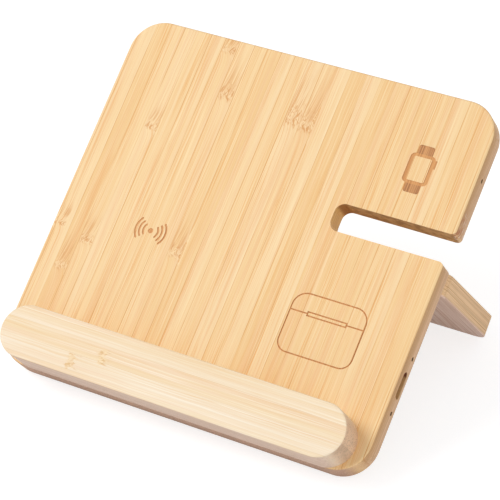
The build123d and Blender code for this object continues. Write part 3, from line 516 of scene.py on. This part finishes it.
def bamboo(name, turn, tints, thread_tint, strip_width, first_seam, seed, knuckles,
           cell=CELL, ridge=RIDGE, bend=2.4, end_tint=END_TINT, side_tints=SIDE_TINTS,
           glue_strength=0.9, marks_and_shade=None):
    """A laminated bamboo finish; tints is the dark, middle and pale colour of its strips."""
    material, tree, shader = finish(name)
    (across, along, out), (faces_across, faces_along) = grain_place(tree, turn)
    dark = eye(*thread_tint)
    spot = highest_spot(tree, across, along, knuckles)
    pushed = pushed_aside(tree, across, along, out, spot, bend)

    strip, within, chance, colour = strip_tones(tree, across, along, out, pushed,
                                                strip_width, first_seam, seed, tints)
    colour, fibre, thread = fibre_lines(tree, along, out, pushed, strip, within, chance,
                                        colour, tints, dark)
    seam = glue_lines(tree, along, strip, within, strip_width)
    colour = mixed(tree, calc(tree, "MULTIPLY", seam, glue_strength), colour,
                   shade(thread_tint, 0.93))
    above = highest_spot(tree, across, calc(tree, "SUBTRACT", along, ABOVE), knuckles)
    colour, ridges = knuckle_wood(tree, along, out, pushed, strip, spot, above, bend,
                                  colour, eye(*cell), eye(*ridge))

    side = fade(tree, faces_across, 0.70, 0.95)
    near, far = side_tints
    side_tone = mixed(tree, fade(tree, out, -1.0, -10.0), eye(*near), eye(*far))
    side_tone = mixed(tree, fade(tree, fibre, 0.40, 0.64, 0.0, 0.55), side_tone,
                      shade(near, 0.78))
    colour = mixed(tree, calc(tree, "MULTIPLY", side, 0.85), colour, side_tone)
    cut_tone, dot = cut_end(tree, across, along, out, chance, end_tint)
    cut = fade(tree, faces_along, 0.45, 0.92)
    colour = mixed(tree, calc(tree, "MULTIPLY", cut, 0.92), colour, cut_tone)
    # The hook draws each piece's marks and its painted shade.
    if marks_and_shade is not None:
        wood = SimpleNamespace(across=across, along=along, out=out, fibre=fibre,
                               side=side, cut=cut)
        colour = marks_and_shade(tree, colour, wood)

    tree.links.new(colour, shader.inputs["Base Color"])
    rough = fade(tree, fibre, 0.3, 0.7, *ROUGHNESS)
    tree.links.new(calc(tree, "MULTIPLY_ADD", cut, ROUGHER_CUT, rough),
                   shader.inputs["Roughness"])
    shader.inputs["Specular IOR Level"].default_value = SATIN
    height = calc(tree, "MULTIPLY_ADD", seam, SEAM_SINKS, fibre)
    height = calc(tree, "MULTIPLY_ADD", thread, THREAD_SINKS, height)
    height = calc(tree, "MULTIPLY_ADD", ridges, RIDGE_SINKS, height)
    height = calc(tree, "MULTIPLY_ADD", calc(tree, "MULTIPLY", dot, cut), DOT_SINKS, height)
    bumped(tree, shader, height, strength=0.3, distance=RELIEF)
    return material


# %% [markdown]
# ## Burnt pictograms
# Three pictograms are burnt into the front: waves for the phone, a rounded case for earbuds and
# a watch, whose strap ends are burnt a little darker. Their grooves are real, a quarter of a
# millimetre deep in the solid. The char only has to follow them, so it is laid wherever the
# surface is below the front face, inside a box round each pictogram. Painting them on instead
# would lose the crisp groove.
# Some are burnt darker than others, so each has two tones of its own: the fibres take the darker
# one, and the soft wood between them the paler one.

# %% Char in the grooves
WATCH_BOX = (153.8, 134.3, 9.0, 7.0)                 # middle across and along, half sizes, in mm
PICTOGRAMS = (("waves", (46.9, 74.6, 10.0, 7.0), ((230, 170, 108), (208, 142, 84))),
              ("earbuds case", (140.4, 55.0, 20.0, 16.0), ((218, 150, 84), (190, 122, 64))),
              ("watch", WATCH_BOX, ((224, 164, 100), (200, 136, 78))),
              ("strap ends", (153.8, 134.3, 4.6, 13.0), ((216, 156, 96), (166, 110, 66))))


def in_box(tree, first, second, box):
    """1 inside a box of (middle, middle, half, half), 0 outside it."""
    middle_x, middle_y, half_x, half_y = box
    dx = calc(tree, "ABSOLUTE", calc(tree, "SUBTRACT", first, middle_x))
    dy = calc(tree, "ABSOLUTE", calc(tree, "SUBTRACT", second, middle_y))
    return calc(tree, "MULTIPLY", calc(tree, "LESS_THAN", dx, half_x),
                calc(tree, "LESS_THAN", dy, half_y))


def fibred(tree, fibre, tones, start=0.35, end=0.65):
    """The first of two tones goes to the second with the noise of the fibres."""
    return mixed(tree, fade(tree, fibre, start, end), eye(*tones[0]), eye(*tones[1]))


def char(tree, colour, wood):
    """Char where out is 0.04 to 0.6 mm below the front, inside one of the pictogram boxes."""
    depth = calc(tree, "MULTIPLY", fade(tree, wood.out, -0.04, -0.16),
                 fade(tree, wood.out, -0.60, -0.50))
    for name, box, tones in PICTOGRAMS:
        inside = in_box(tree, wood.across, wood.along, box)
        if name == "strap ends":
            watch = in_box(tree, wood.across, wood.along, WATCH_BOX)
            inside = calc(tree, "SUBTRACT", inside, watch)
        amount = calc(tree, "MULTIPLY", calc(tree, "MULTIPLY", depth, inside), 0.97)
        colour = mixed(tree, amount, colour, fibred(tree, wood.fibre, tones, 0.36, 0.64))
    return colour


print("burnt:", [name for name, _, _ in PICTOGRAMS])

# %% [markdown]
# The milling cutter leaves its marks too. It was hot, so the walls of the power opening are
# scorched, and they are drawn darker towards the opening's upper end. The pinholes are deep and
# narrow, and their shade is painted in them as a near black.
# Inside those openings the surface lies behind the right side of the board, which is how the
# finish knows them: a narrow box round each opening, open only below the side's own surface.
# The left side has no openings, so nothing is drawn there.

# %% Scorched openings, and painted shade in the pinholes
POWER_OPENING = (43.85, -6.30, 6.5, 2.6)             # middle along and out, half sizes, in mm
PINHOLES = ((31.50, -7.13, 1.2, 1.2), (56.20, -7.13, 1.2, 1.2), (138.5, -6.20, 1.2, 1.2))
UPPER_END_OF_OPENING = (47.6, 49.0)                  # from and to, along
BELOW_RIGHT_SIDE = (179.95, 179.6)                   # from and to, across
RIGHT_PART_ONLY = (171.0, 172.0)


def scorched_and_shaded_openings(tree, colour, wood):
    """Scorch, darker towards the opening's upper end, and a near black painted shade in the
    pinholes, where the surface is up to 9 mm below the right side, in the openings' boxes.
    """
    opening = in_box(tree, wood.along, wood.out, POWER_OPENING)
    holes = 0.0
    for box in PINHOLES:
        holes = calc(tree, "MAXIMUM", holes, in_box(tree, wood.along, wood.out, box))
    sunk = calc(tree, "MULTIPLY", fade(tree, wood.across, *BELOW_RIGHT_SIDE),
                fade(tree, wood.across, *RIGHT_PART_ONLY))
    scorch_and_shade = fibred(tree, wood.fibre, ((226, 180, 124), (200, 146, 90)))
    # Darker towards the opening's upper end.
    scorch_and_shade = mixed(tree, fade(tree, wood.along, *UPPER_END_OF_OPENING), scorch_and_shade,
                   eye(120, 60, 36))
    # Painted shade: the deep pinholes are drawn near black.
    scorch_and_shade = mixed(tree, holes, scorch_and_shade, eye(58, 36, 28))
    inside = calc(tree, "MAXIMUM", opening, holes)
    amount = calc(tree, "MULTIPLY", calc(tree, "MULTIPLY", inside, sunk), 0.95)
    return mixed(tree, amount, colour, scorch_and_shade)


print("openings in the right side:", 1 + len(PINHOLES))

# %% [markdown]
# In the strap slot the upper wall is walnut brown in blots, the rounded end is golden, and the
# corner between them, where the cutter stopped, is burnt. The slot reaches the front, so here
# the finish asks for what lies below the front face.

# %% The walls of the slot
SLOT_BOX = (153.0, 104.4, 28.5, 6.7)                 # middle across and along, half sizes, in mm
BELOW_FRONT = (-0.05, -0.45)                         # from and to, out
UPPER_WALL = (104.0, 108.0)                          # from and to, along
ROUNDED_END = (131.0, 126.5)                         # from and to, across
BURNT_CORNER = (126.8, 110.0)                        # across and along
BURNT_REACH = (0.30, 0.36)                           # one over its reach, across and along


def slot_walls(tree, colour, wood):
    """Walnut on the upper wall, gold at the rounded end and a burnt corner between them."""
    place = add(tree, "CombineXYZ", {0: wood.across, 1: wood.along, 2: wood.out}).outputs[0]
    blot = add(tree, "TexNoise", {"Vector": place, "Scale": 0.3, "Detail": 3.0}).outputs[0]
    slot = in_box(tree, wood.across, wood.along, SLOT_BOX)
    slot = calc(tree, "MULTIPLY", slot, fade(tree, wood.out, *BELOW_FRONT))
    upper = calc(tree, "MULTIPLY", slot, fade(tree, wood.along, *UPPER_WALL))
    walnut = mixed(tree, fade(tree, blot, 0.40, 0.62), eye(204, 162, 108), eye(166, 122, 74))
    colour = mixed(tree, calc(tree, "MULTIPLY", upper, 0.8), colour, walnut)
    end_wall = calc(tree, "MULTIPLY", slot, fade(tree, wood.across, *ROUNDED_END))
    golden = fibred(tree, wood.fibre, ((246, 200, 120), (222, 172, 96)))
    colour = mixed(tree, calc(tree, "MULTIPLY", end_wall, 0.85), colour, golden)
    dx = calc(tree, "MULTIPLY", calc(tree, "SUBTRACT", wood.across, BURNT_CORNER[0]),
              BURNT_REACH[0])
    dy = calc(tree, "MULTIPLY", calc(tree, "SUBTRACT", wood.along, BURNT_CORNER[1]),
              BURNT_REACH[1])
    away = calc(tree, "SQRT", calc(tree, "MULTIPLY_ADD", dx, dx, calc(tree, "MULTIPLY", dy, dy)))
    burnt = calc(tree, "MULTIPLY", slot, fade(tree, away, 0.35, 1.0, 0.75, 0.0))
    return mixed(tree, burnt, colour, eye(150, 92, 48))


# %% [markdown]
# Where the cutter entered the board from the side, above the slot, it tore the corner: rusty
# splinters near the front and white ones behind them. One noise gives both, so that where it is
# high there is rust, where it is low there is white, and whole wood lies between.

# %% The torn corner above the slot's mouth
TORN_ACROSS = (177.5, 179.0)
TORN_ABOVE = (109.5, 110.8)                          # along, where the tear begins
TORN_BELOW = (128.0, 113.0)                          # along, where it has died away
TORN_OUT = (-0.4, -1.0)
RUST_OUT = (-9.0, -5.0)
WHITE_OUT = (-1.5, -3.0)
SPLINTERS = (1.1, 4.0, 3.0)                          # a streak noise, as for the fibres


def torn_corner(tree, colour, wood):
    """Rusty and white splinters on the right side, just above the slot."""
    tears = streaks(tree, wood.across, wood.along, wood.out, 0.0, *SPLINTERS)
    torn = calc(tree, "MULTIPLY", fade(tree, wood.across, *TORN_ACROSS),
                fade(tree, wood.along, *TORN_ABOVE))
    torn = calc(tree, "MULTIPLY", torn, fade(tree, wood.along, *TORN_BELOW))
    torn = calc(tree, "MULTIPLY", torn, fade(tree, wood.out, *TORN_OUT))
    rust = calc(tree, "MULTIPLY", fade(tree, tears, 0.49, 0.56, 0.0, 0.9),
                fade(tree, wood.out, *RUST_OUT))
    white = calc(tree, "MULTIPLY", fade(tree, tears, 0.44, 0.37, 0.0, 0.6),
                 fade(tree, wood.out, *WHITE_OUT))
    colour = mixed(tree, calc(tree, "MULTIPLY", torn, rust), colour, eye(180, 112, 70))
    return mixed(tree, calc(tree, "MULTIPLY", torn, white), colour, eye(234, 222, 216))


# %% [markdown]
# The board has all of these marks, and a painted shade makes its bottom edge rosier than its top
# edge. Each is laid over the last one, so the order matters only where two of them meet.

# %% All marks of the board, and its painted shade
def board_marks_and_shade(tree, colour, wood):
    """Char, painted shade on the bottom edge, the scorched openings with painted shade in the
    pinholes, the slot's walls and the torn corner.
    """
    colour = char(tree, colour, wood)
    # Painted shade: the bottom edge faces the floor, so it is drawn rosier and greyer.
    bottom = calc(tree, "MULTIPLY", wood.cut, fade(tree, wood.along, 6.0, 1.0, 0.0, 0.75))
    painted_shade_tint = fibred(tree, wood.fibre, ((202, 168, 150), (170, 134, 118)))
    colour = mixed(tree, bottom, colour, painted_shade_tint)
    colour = scorched_and_shaded_openings(tree, colour, wood)
    colour = slot_walls(tree, colour, wood)
    return torn_corner(tree, colour, wood)


# %% [markdown]
# The face of the leg that folds against the board lies in shade, and that shade is painted on it,
# greyer and rosier than its outer face. The two faces differ in how far out of the grain they lie.
# Its long sides show dark lines where the layers of cane were glued.

# %% The leg's layer lines, and painted shade on its inner face
INNER_FACE = (87.2, 86.4)                            # from and to, out; the outer face is at 96
LAYERS = (0.30, 300.0, 1.0)                          # a streak noise, as for the fibres


def layer_lines_and_painted_shade(tree, colour, wood):
    """Dark lines on the sides, and painted shade in pinkish grey where out is below 87 mm: the
    inner face.
    """
    layers = streaks(tree, 0.0, wood.along, wood.out, 0.0, *LAYERS)
    dark_lines = calc(tree, "MULTIPLY", threads(tree, layers, 6.0, 0.14), wood.side)
    colour = mixed(tree, calc(tree, "MULTIPLY", dark_lines, 0.85), colour, eye(190, 140, 80))
    # Painted shade on the inner face, which faces the back of the board.
    inner = fade(tree, wood.out, *INNER_FACE)
    painted_shade_tint = fibred(tree, wood.fibre, ((246, 219, 205), (214, 174, 152)), 0.34, 0.66)
    return mixed(tree, calc(tree, "MULTIPLY", inner, 0.9), colour, painted_shade_tint)


# %% [markdown]
# The underside of the ledge faces the floor and lies in shade; that shade is painted on it as a
# pinkish grey. In the ledge's coordinates, turned by a quarter, across counts backwards from the
# underside.

# %% Painted shade on the ledge's underside
def painted_underside_shade(tree, colour, wood):
    """Painted shade: pinkish grey on side faces where across is near 0, which is the ledge's
    underside.
    """
    # Painted shade on the underside, which faces the floor.
    under = calc(tree, "MULTIPLY", wood.side, fade(tree, wood.across, -9.0, -2.0, 0.0, 0.9))
    painted_shade_tint = fibred(tree, wood.fibre, ((226, 200, 182), (206, 176, 154)), 0.34, 0.66)
    return mixed(tree, under, colour, painted_shade_tint)


# %% [markdown]
# ## Finishing the bamboo pieces
# All four pieces are the same wood, so one finish serves them, with its own tints, strips and
# knuckles for each. The ledge is paler, its strips run across the board, and its glue lines can
# hardly be seen. The knuckles are placed where the photograph has them: the middle
# across and along in mm, then their half width and half length.

# %% Board, ledge, leg and cover
BOARD_KNUCKLES = ((47.4, 164.0, 3.5, 6.0), (54.8, 143.0, 3.6, 9.0), (89.9, 141.0, 3.6, 13.0),
                  (97.0, 139.5, 3.6, 13.0), (26.6, 120.0, 3.4, 4.5), (19.0, 61.5, 3.5, 6.0),
                  (12.2, 47.5, 3.4, 7.5), (62.2, 67.5, 3.6, 9.0), (3.0, 66.0, 3.4, 3.5))
LEDGE_KNUCKLES = ((-5.8, 43.6, 3.9, 6.5), (-11.9, 57.2, 3.9, 6.0))
LEG_KNUCKLES = ((36.0, 60.0, 3.6, 4.0), (128.0, 40.0, 3.6, 4.0))
COVER_KNUCKLES = ((60.0, 70.0, 3.6, 5.0), (110.0, 30.0, 3.6, 5.0))
QUARTER = math.radians(90.0)

board_bamboo = bamboo(
    "board_bamboo", turn=(-TILT, 0.0, 0.0),
    tints=((241, 202, 143), (246, 213, 159), (249, 221, 174)), thread_tint=(232, 164, 86),
    strip_width=7.08, first_seam=1.7, seed=3.0, knuckles=BOARD_KNUCKLES,
    end_tint=(198, 160, 120), marks_and_shade=board_marks_and_shade)
ledge_bamboo = bamboo(
    "ledge_bamboo", turn=(-TILT, 0.0, QUARTER),
    tints=((243, 218, 177), (246, 227, 196), (249, 235, 213)), thread_tint=(236, 197, 138),
    strip_width=7.4, first_seam=-24.0, seed=11.0, knuckles=LEDGE_KNUCKLES,
    cell=(248, 222, 176), ridge=(228, 188, 134), bend=0.4, end_tint=(206, 172, 140),
    side_tints=((242, 220, 188), (242, 220, 188)), glue_strength=0.3, marks_and_shade=painted_underside_shade)
leg_bamboo = bamboo(
    "leg_bamboo", turn=(QUARTER - LEG_TILT, 0.0, 0.0),
    tints=((240, 198, 142), (244, 209, 157), (248, 218, 172)), thread_tint=(218, 160, 100),
    strip_width=7.2, first_seam=0.0, seed=21.0, knuckles=LEG_KNUCKLES,
    side_tints=((238, 197, 149), (238, 197, 149)), marks_and_shade=layer_lines_and_painted_shade)
cover_bamboo = bamboo(
    "cover_bamboo", turn=(-TILT, 0.0, 0.0),
    tints=((238, 198, 146), (242, 206, 156), (247, 216, 168)), thread_tint=(212, 160, 106),
    strip_width=7.2, first_seam=3.0, seed=35.0, knuckles=COVER_KNUCKLES)


def dress(material, *nodes):
    """Puts a material in the slot of each named CAD node."""
    for name in nodes:
        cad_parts[name].material_slots[0].material = material


dress(board_bamboo, "main_board")
dress(ledge_bamboo, "front_ledge")
dress(leg_bamboo, "support_leg")
dress(cover_bamboo, "back_cover")
print("bamboo pieces dressed; knuckles on the board:", len(BOARD_KNUCKLES))

# %% [markdown]
# ## Plain workshop finishes
# The other pieces are small: steel, rubber, copper, ferrite, circuit board and plastic. Each is
# one colour with the marks that its making leaves: brushing, moulding grain, solder mask. One
# function covers them, because only the colour, the grain and the gloss differ.

# %% A finish with a fine grain
def grained(name, light, dark, metal, rough, grain, strength=0.4, depth=0.00004):
    """Two tones mixed by noise at Object coordinates times grain; roughness and relief too."""
    material, tree, shader = finish(name)
    where = add(tree, "TexCoord")
    place = add(tree, "Mapping", {"Vector": where.outputs["Object"], "Scale": grain})
    noise = add(tree, "TexNoise", {"Vector": place.outputs[0], "Scale": 1.0, "Detail": 4.0,
                                   "Roughness": 0.65}).outputs[0]
    patches = add(tree, "TexNoise", {"Vector": where.outputs["Object"], "Scale": 120.0,
                                     "Detail": 2.0}).outputs[0]
    tone = calc(tree, "MULTIPLY_ADD", patches, 0.5, calc(tree, "MULTIPLY", noise, 0.5))
    tree.links.new(mixed(tree, fade(tree, tone, 0.36, 0.64), eye(*light), eye(*dark)),
                   shader.inputs["Base Color"])
    tree.links.new(fade(tree, noise, 0.3, 0.7, *rough), shader.inputs["Roughness"])
    shader.inputs["Metallic"].default_value = metal
    bumped(tree, shader, noise, strength, depth)
    return material


# %% [markdown]
# The grain is how many blobs of noise fit in a metre, in each direction. Three equal numbers
# give an even grain, as on moulded plastic. Brushed steel has few along the brush and many
# across it, so its blobs become fine scratches.

# %% Every small piece
METAL = 1.0
NOT_METAL = 0.0
FINISHES = (   # name, light tone, dark tone, metal, roughness from and to, grain, pieces
    ("dowel_wood", (214, 182, 136), (190, 154, 108), NOT_METAL, (0.6, 0.75),
     (900.0, 300.0, 900.0), ("ledge_dowels",)),
    ("hinge_steel", (176, 176, 178), (140, 140, 143), METAL, (0.28, 0.42),
     (120.0, 2600.0, 2600.0), ("left_hinge_board_leaf", "right_hinge_board_leaf",
                               "left_hinge_leg_leaf", "right_hinge_leg_leaf")),
    ("pin_steel", (196, 196, 198), (160, 160, 162), METAL, (0.2, 0.35),
     (80.0, 3000.0, 3000.0), ("left_hinge_pin", "right_hinge_pin")),
    ("screw_steel", (204, 202, 196), (166, 164, 158), METAL, (0.2, 0.38),
     (1500.0, 1500.0, 1500.0), ("hinge_board_screws", "hinge_leg_screws", "cover_screws",
                                "pcb_screws")),
    ("ferrite", (62, 60, 60), (40, 38, 38), NOT_METAL, (0.55, 0.75),
     (1200.0, 1200.0, 1200.0), ("phone_ferrite", "earbuds_ferrite", "watch_ferrite")),
    ("magnet_nickel", (190, 188, 182), (158, 156, 150), METAL, (0.12, 0.25),
     (900.0, 900.0, 900.0), ("watch_magnet",)),
    ("circuit_board", (34, 98, 62), (18, 68, 42), NOT_METAL, (0.3, 0.45),
     (700.0, 700.0, 700.0), ("main_pcb", "watch_pcb")),
    ("shell_steel", (172, 172, 174), (136, 136, 139), METAL, (0.25, 0.38),
     (200.0, 2400.0, 2400.0), ("usb_shell",)),
    ("tongue_plastic", (40, 40, 42), (26, 26, 28), NOT_METAL, (0.45, 0.6),
     (1800.0, 1800.0, 1800.0), ("usb_tongue",)),
    ("chip_plastic", (48, 48, 50), (32, 32, 34), NOT_METAL, (0.6, 0.78),
     (2600.0, 2600.0, 2600.0), ("pcb_chips", "watch_driver_chip")),
    ("inductor_ferrite", (84, 82, 80), (58, 56, 54), NOT_METAL, (0.5, 0.7),
     (1600.0, 1600.0, 1600.0), ("pcb_inductors",)),
    ("capacitor_ceramic", (198, 168, 128), (168, 138, 98), NOT_METAL, (0.4, 0.55),
     (2000.0, 2000.0, 2000.0), ("pcb_capacitors",)),
    ("connector_plastic", (234, 228, 212), (216, 208, 190), NOT_METAL, (0.3, 0.45),
     (1500.0, 1500.0, 1500.0), ("lead_connectors", "watch_connectors")),
    ("lamp_plastic", (244, 238, 206), (228, 220, 184), NOT_METAL, (0.12, 0.22),
     (900.0, 900.0, 900.0), ("port_leds", "watch_led")),
    # The light guides are clear, but they are drawn near black: painted shade of the deep
    # pinholes.
    ("guide_plastic", (22, 19, 20), (12, 10, 11), NOT_METAL, (0.7, 0.85),
     (1500.0, 1500.0, 1500.0), ("light_guides",)),
    ("lead_plastic", (190, 46, 40), (160, 30, 28), NOT_METAL, (0.35, 0.5),
     (1500.0, 1500.0, 1500.0), ("phone_leads", "earbuds_leads", "watch_leads",
                                "watch_coil_leads")))

for name, light, dark, metal, rough, grain, nodes in FINISHES:
    dress(grained(name, light, dark, metal, rough, grain), *nodes)

foot_rubber = grained("foot_rubber", (44, 44, 45), (28, 28, 29), NOT_METAL, (0.75, 0.9),
                      (2600.0, 2600.0, 2600.0), strength=0.6, depth=0.00008)
dress(foot_rubber, "board_feet", "leg_feet")
coil_copper = grained("coil_copper", (214, 132, 84), (168, 88, 50), METAL, (0.25, 0.4),
                      (1800.0, 1800.0, 1800.0))
print("materials:", len(bpy.data.materials))

# %% [markdown]
# ## Charging coils
# Behind the front wall lies a flat coil for each device, wound from one enamelled copper wire.
# The solid is only the ring that the winding fills. A ring with grooves would look like a
# record; a real winding is one spiral whose wire has two ends. So each coil is a tube carried
# along a spiral, worked out as a grid: one row for every step of the angle, one column for every
# point round the wire. The ends are closed by rows that shrink to the wire's middle.

# %% The points of a winding
FRONT_WALL = 2.5          # mm of wood in front of the coils
POINTS_ROUND_WIRE = 8
STEPS_PER_TURN = 64
BARE_RADIUS = 0.485       # of the copper, as a share of the way from turn to turn


def spiral_tube(middle, inner, turns, wire):
    """Grid of points in metres on a tube round r = inner + wire / 2 + wire * angle / (2 pi)."""
    angle = np.linspace(0.0, 2.0 * np.pi * turns, int(turns * STEPS_PER_TURN) + 1)
    angle = np.concatenate([angle[:1], angle, angle[-1:]])
    reach = inner + wire / 2 + wire * angle / (2.0 * np.pi)
    thick = np.full_like(angle, BARE_RADIUS * wire)
    thick[[0, -1]] = 0.0
    ring = np.linspace(0.0, 2.0 * np.pi, POINTS_ROUND_WIRE, endpoint=False)
    far = reach[:, None] + thick[:, None] * np.cos(ring)
    across = middle[0] + far * np.cos(angle)[:, None]
    along = middle[1] + far * np.sin(angle)[:, None]
    out = -(FRONT_WALL + wire / 2) + thick[:, None] * np.sin(ring)
    return (np.array(BOARD_CORNER) + across[..., None] * np.array(ACROSS)
            + along[..., None] * np.array(UP_SLOPE)
            + out[..., None] * np.array(OUT_OF_FRONT)) / 1000.0


# %% [markdown]
# The grid becomes a mesh of four-sided faces, each between two rows and two columns. The last
# column joins the first one again. At the ends all points of a row are the same point, so they
# are merged, and then the faces are turned to point outwards.

# %% The windings
def winding(node, middle, inner, outer, wire):
    """A coil of wire between two radii round middle, all in board mm; it replaces the ring."""
    turns = (outer - inner - wire) / wire
    points = spiral_tube(middle, inner, turns, wire)
    rows, columns = points.shape[:2]
    index = np.arange(rows * columns).reshape(rows, columns)
    here, there = index[:-1], index[1:]
    quads = np.stack([here, np.roll(here, -1, 1), np.roll(there, -1, 1), there], -1)
    mesh = bpy.data.meshes.new(node + "_winding")
    mesh.from_pydata(points.reshape(-1, 3).tolist(), [], quads.reshape(-1, 4).tolist())
    sheet = bmesh.new()
    sheet.from_mesh(mesh)
    bmesh.ops.remove_doubles(sheet, verts=sheet.verts, dist=1e-7)
    bmesh.ops.recalc_face_normals(sheet, faces=sheet.faces)
    sheet.to_mesh(mesh)
    sheet.free()
    mesh.shade_smooth()
    mesh.materials.append(coil_copper)
    piece = bpy.data.objects.new(node + "_winding", mesh)
    bpy.context.scene.collection.objects.link(piece)
    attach(piece, "stand")
    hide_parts(node)
    print(node, "turns:", round(turns, 1), " wire in mm:", wire, " faces:", len(mesh.polygons))


winding("phone_coil", middle=(46.9, 74.6), inner=10.0, outer=22.0, wire=1.2)
winding("earbuds_coil", middle=(140.4, 55.0), inner=6.5, outer=14.0, wire=1.0)
winding("watch_coil", middle=(153.8, 134.3), inner=6.0, outer=12.0, wire=1.0)

# %% [markdown]
# ## The floor
# The stand is photographed on pure white. A floor that is only bright would need so much light
# that the wood bleaches. Instead the floor is white paper that also glows a little for the
# camera alone: where the lamps reach it, it is pure white, and under the stand its shadow stays.

# %% White floor that keeps the shadow
FLOOR_HALF = 6.0                                     # metres
PAPER = (0.90, 0.90, 0.90, 1.0)                      # what lights the stand from below
PAPER_SEEN = (0.45, 0.45, 0.45, 1.0)                 # what the camera sees, with the glow
GLOW = 0.74


def white_floor():
    """A flat square of 12 m under the stand."""
    corners = [(-FLOOR_HALF, -FLOOR_HALF, 0.0), (FLOOR_HALF, -FLOOR_HALF, 0.0),
               (FLOOR_HALF, FLOOR_HALF, 0.0), (-FLOOR_HALF, FLOOR_HALF, 0.0)]
    mesh = bpy.data.meshes.new("floor")
    mesh.from_pydata(corners, [], [(0, 1, 2, 3)])
    floor = bpy.data.objects.new("floor", mesh)
    bpy.context.scene.collection.objects.link(floor)
    material, tree, shader = finish("white_floor")
    shader.inputs["Roughness"].default_value = 0.9
    shader.inputs["Specular IOR Level"].default_value = 0.0
    seen = seen_by_eye(tree)
    tree.links.new(mixed(tree, seen, PAPER, PAPER_SEEN), shader.inputs["Base Color"])
    glow = add(tree, "Emission", {"Color": WHITE, "Strength": calc(tree, "MULTIPLY", seen, GLOW)})
    both = add(tree, "AddShader", {0: shader.outputs[0], 1: glow.outputs[0]})
    output = next(n for n in tree.nodes if n.type == "OUTPUT_MATERIAL")
    tree.links.new(both.outputs[0], output.inputs["Surface"])
    mesh.materials.append(material)
    return floor


white_floor()
print("floor in metres:", 2 * FLOOR_HALF, "by", 2 * FLOOR_HALF)

# %% [markdown]
# ## Last: the view
# Standard keeps colours as they are written.

# %% View transform
bpy.context.scene.view_settings.view_transform = "Standard"
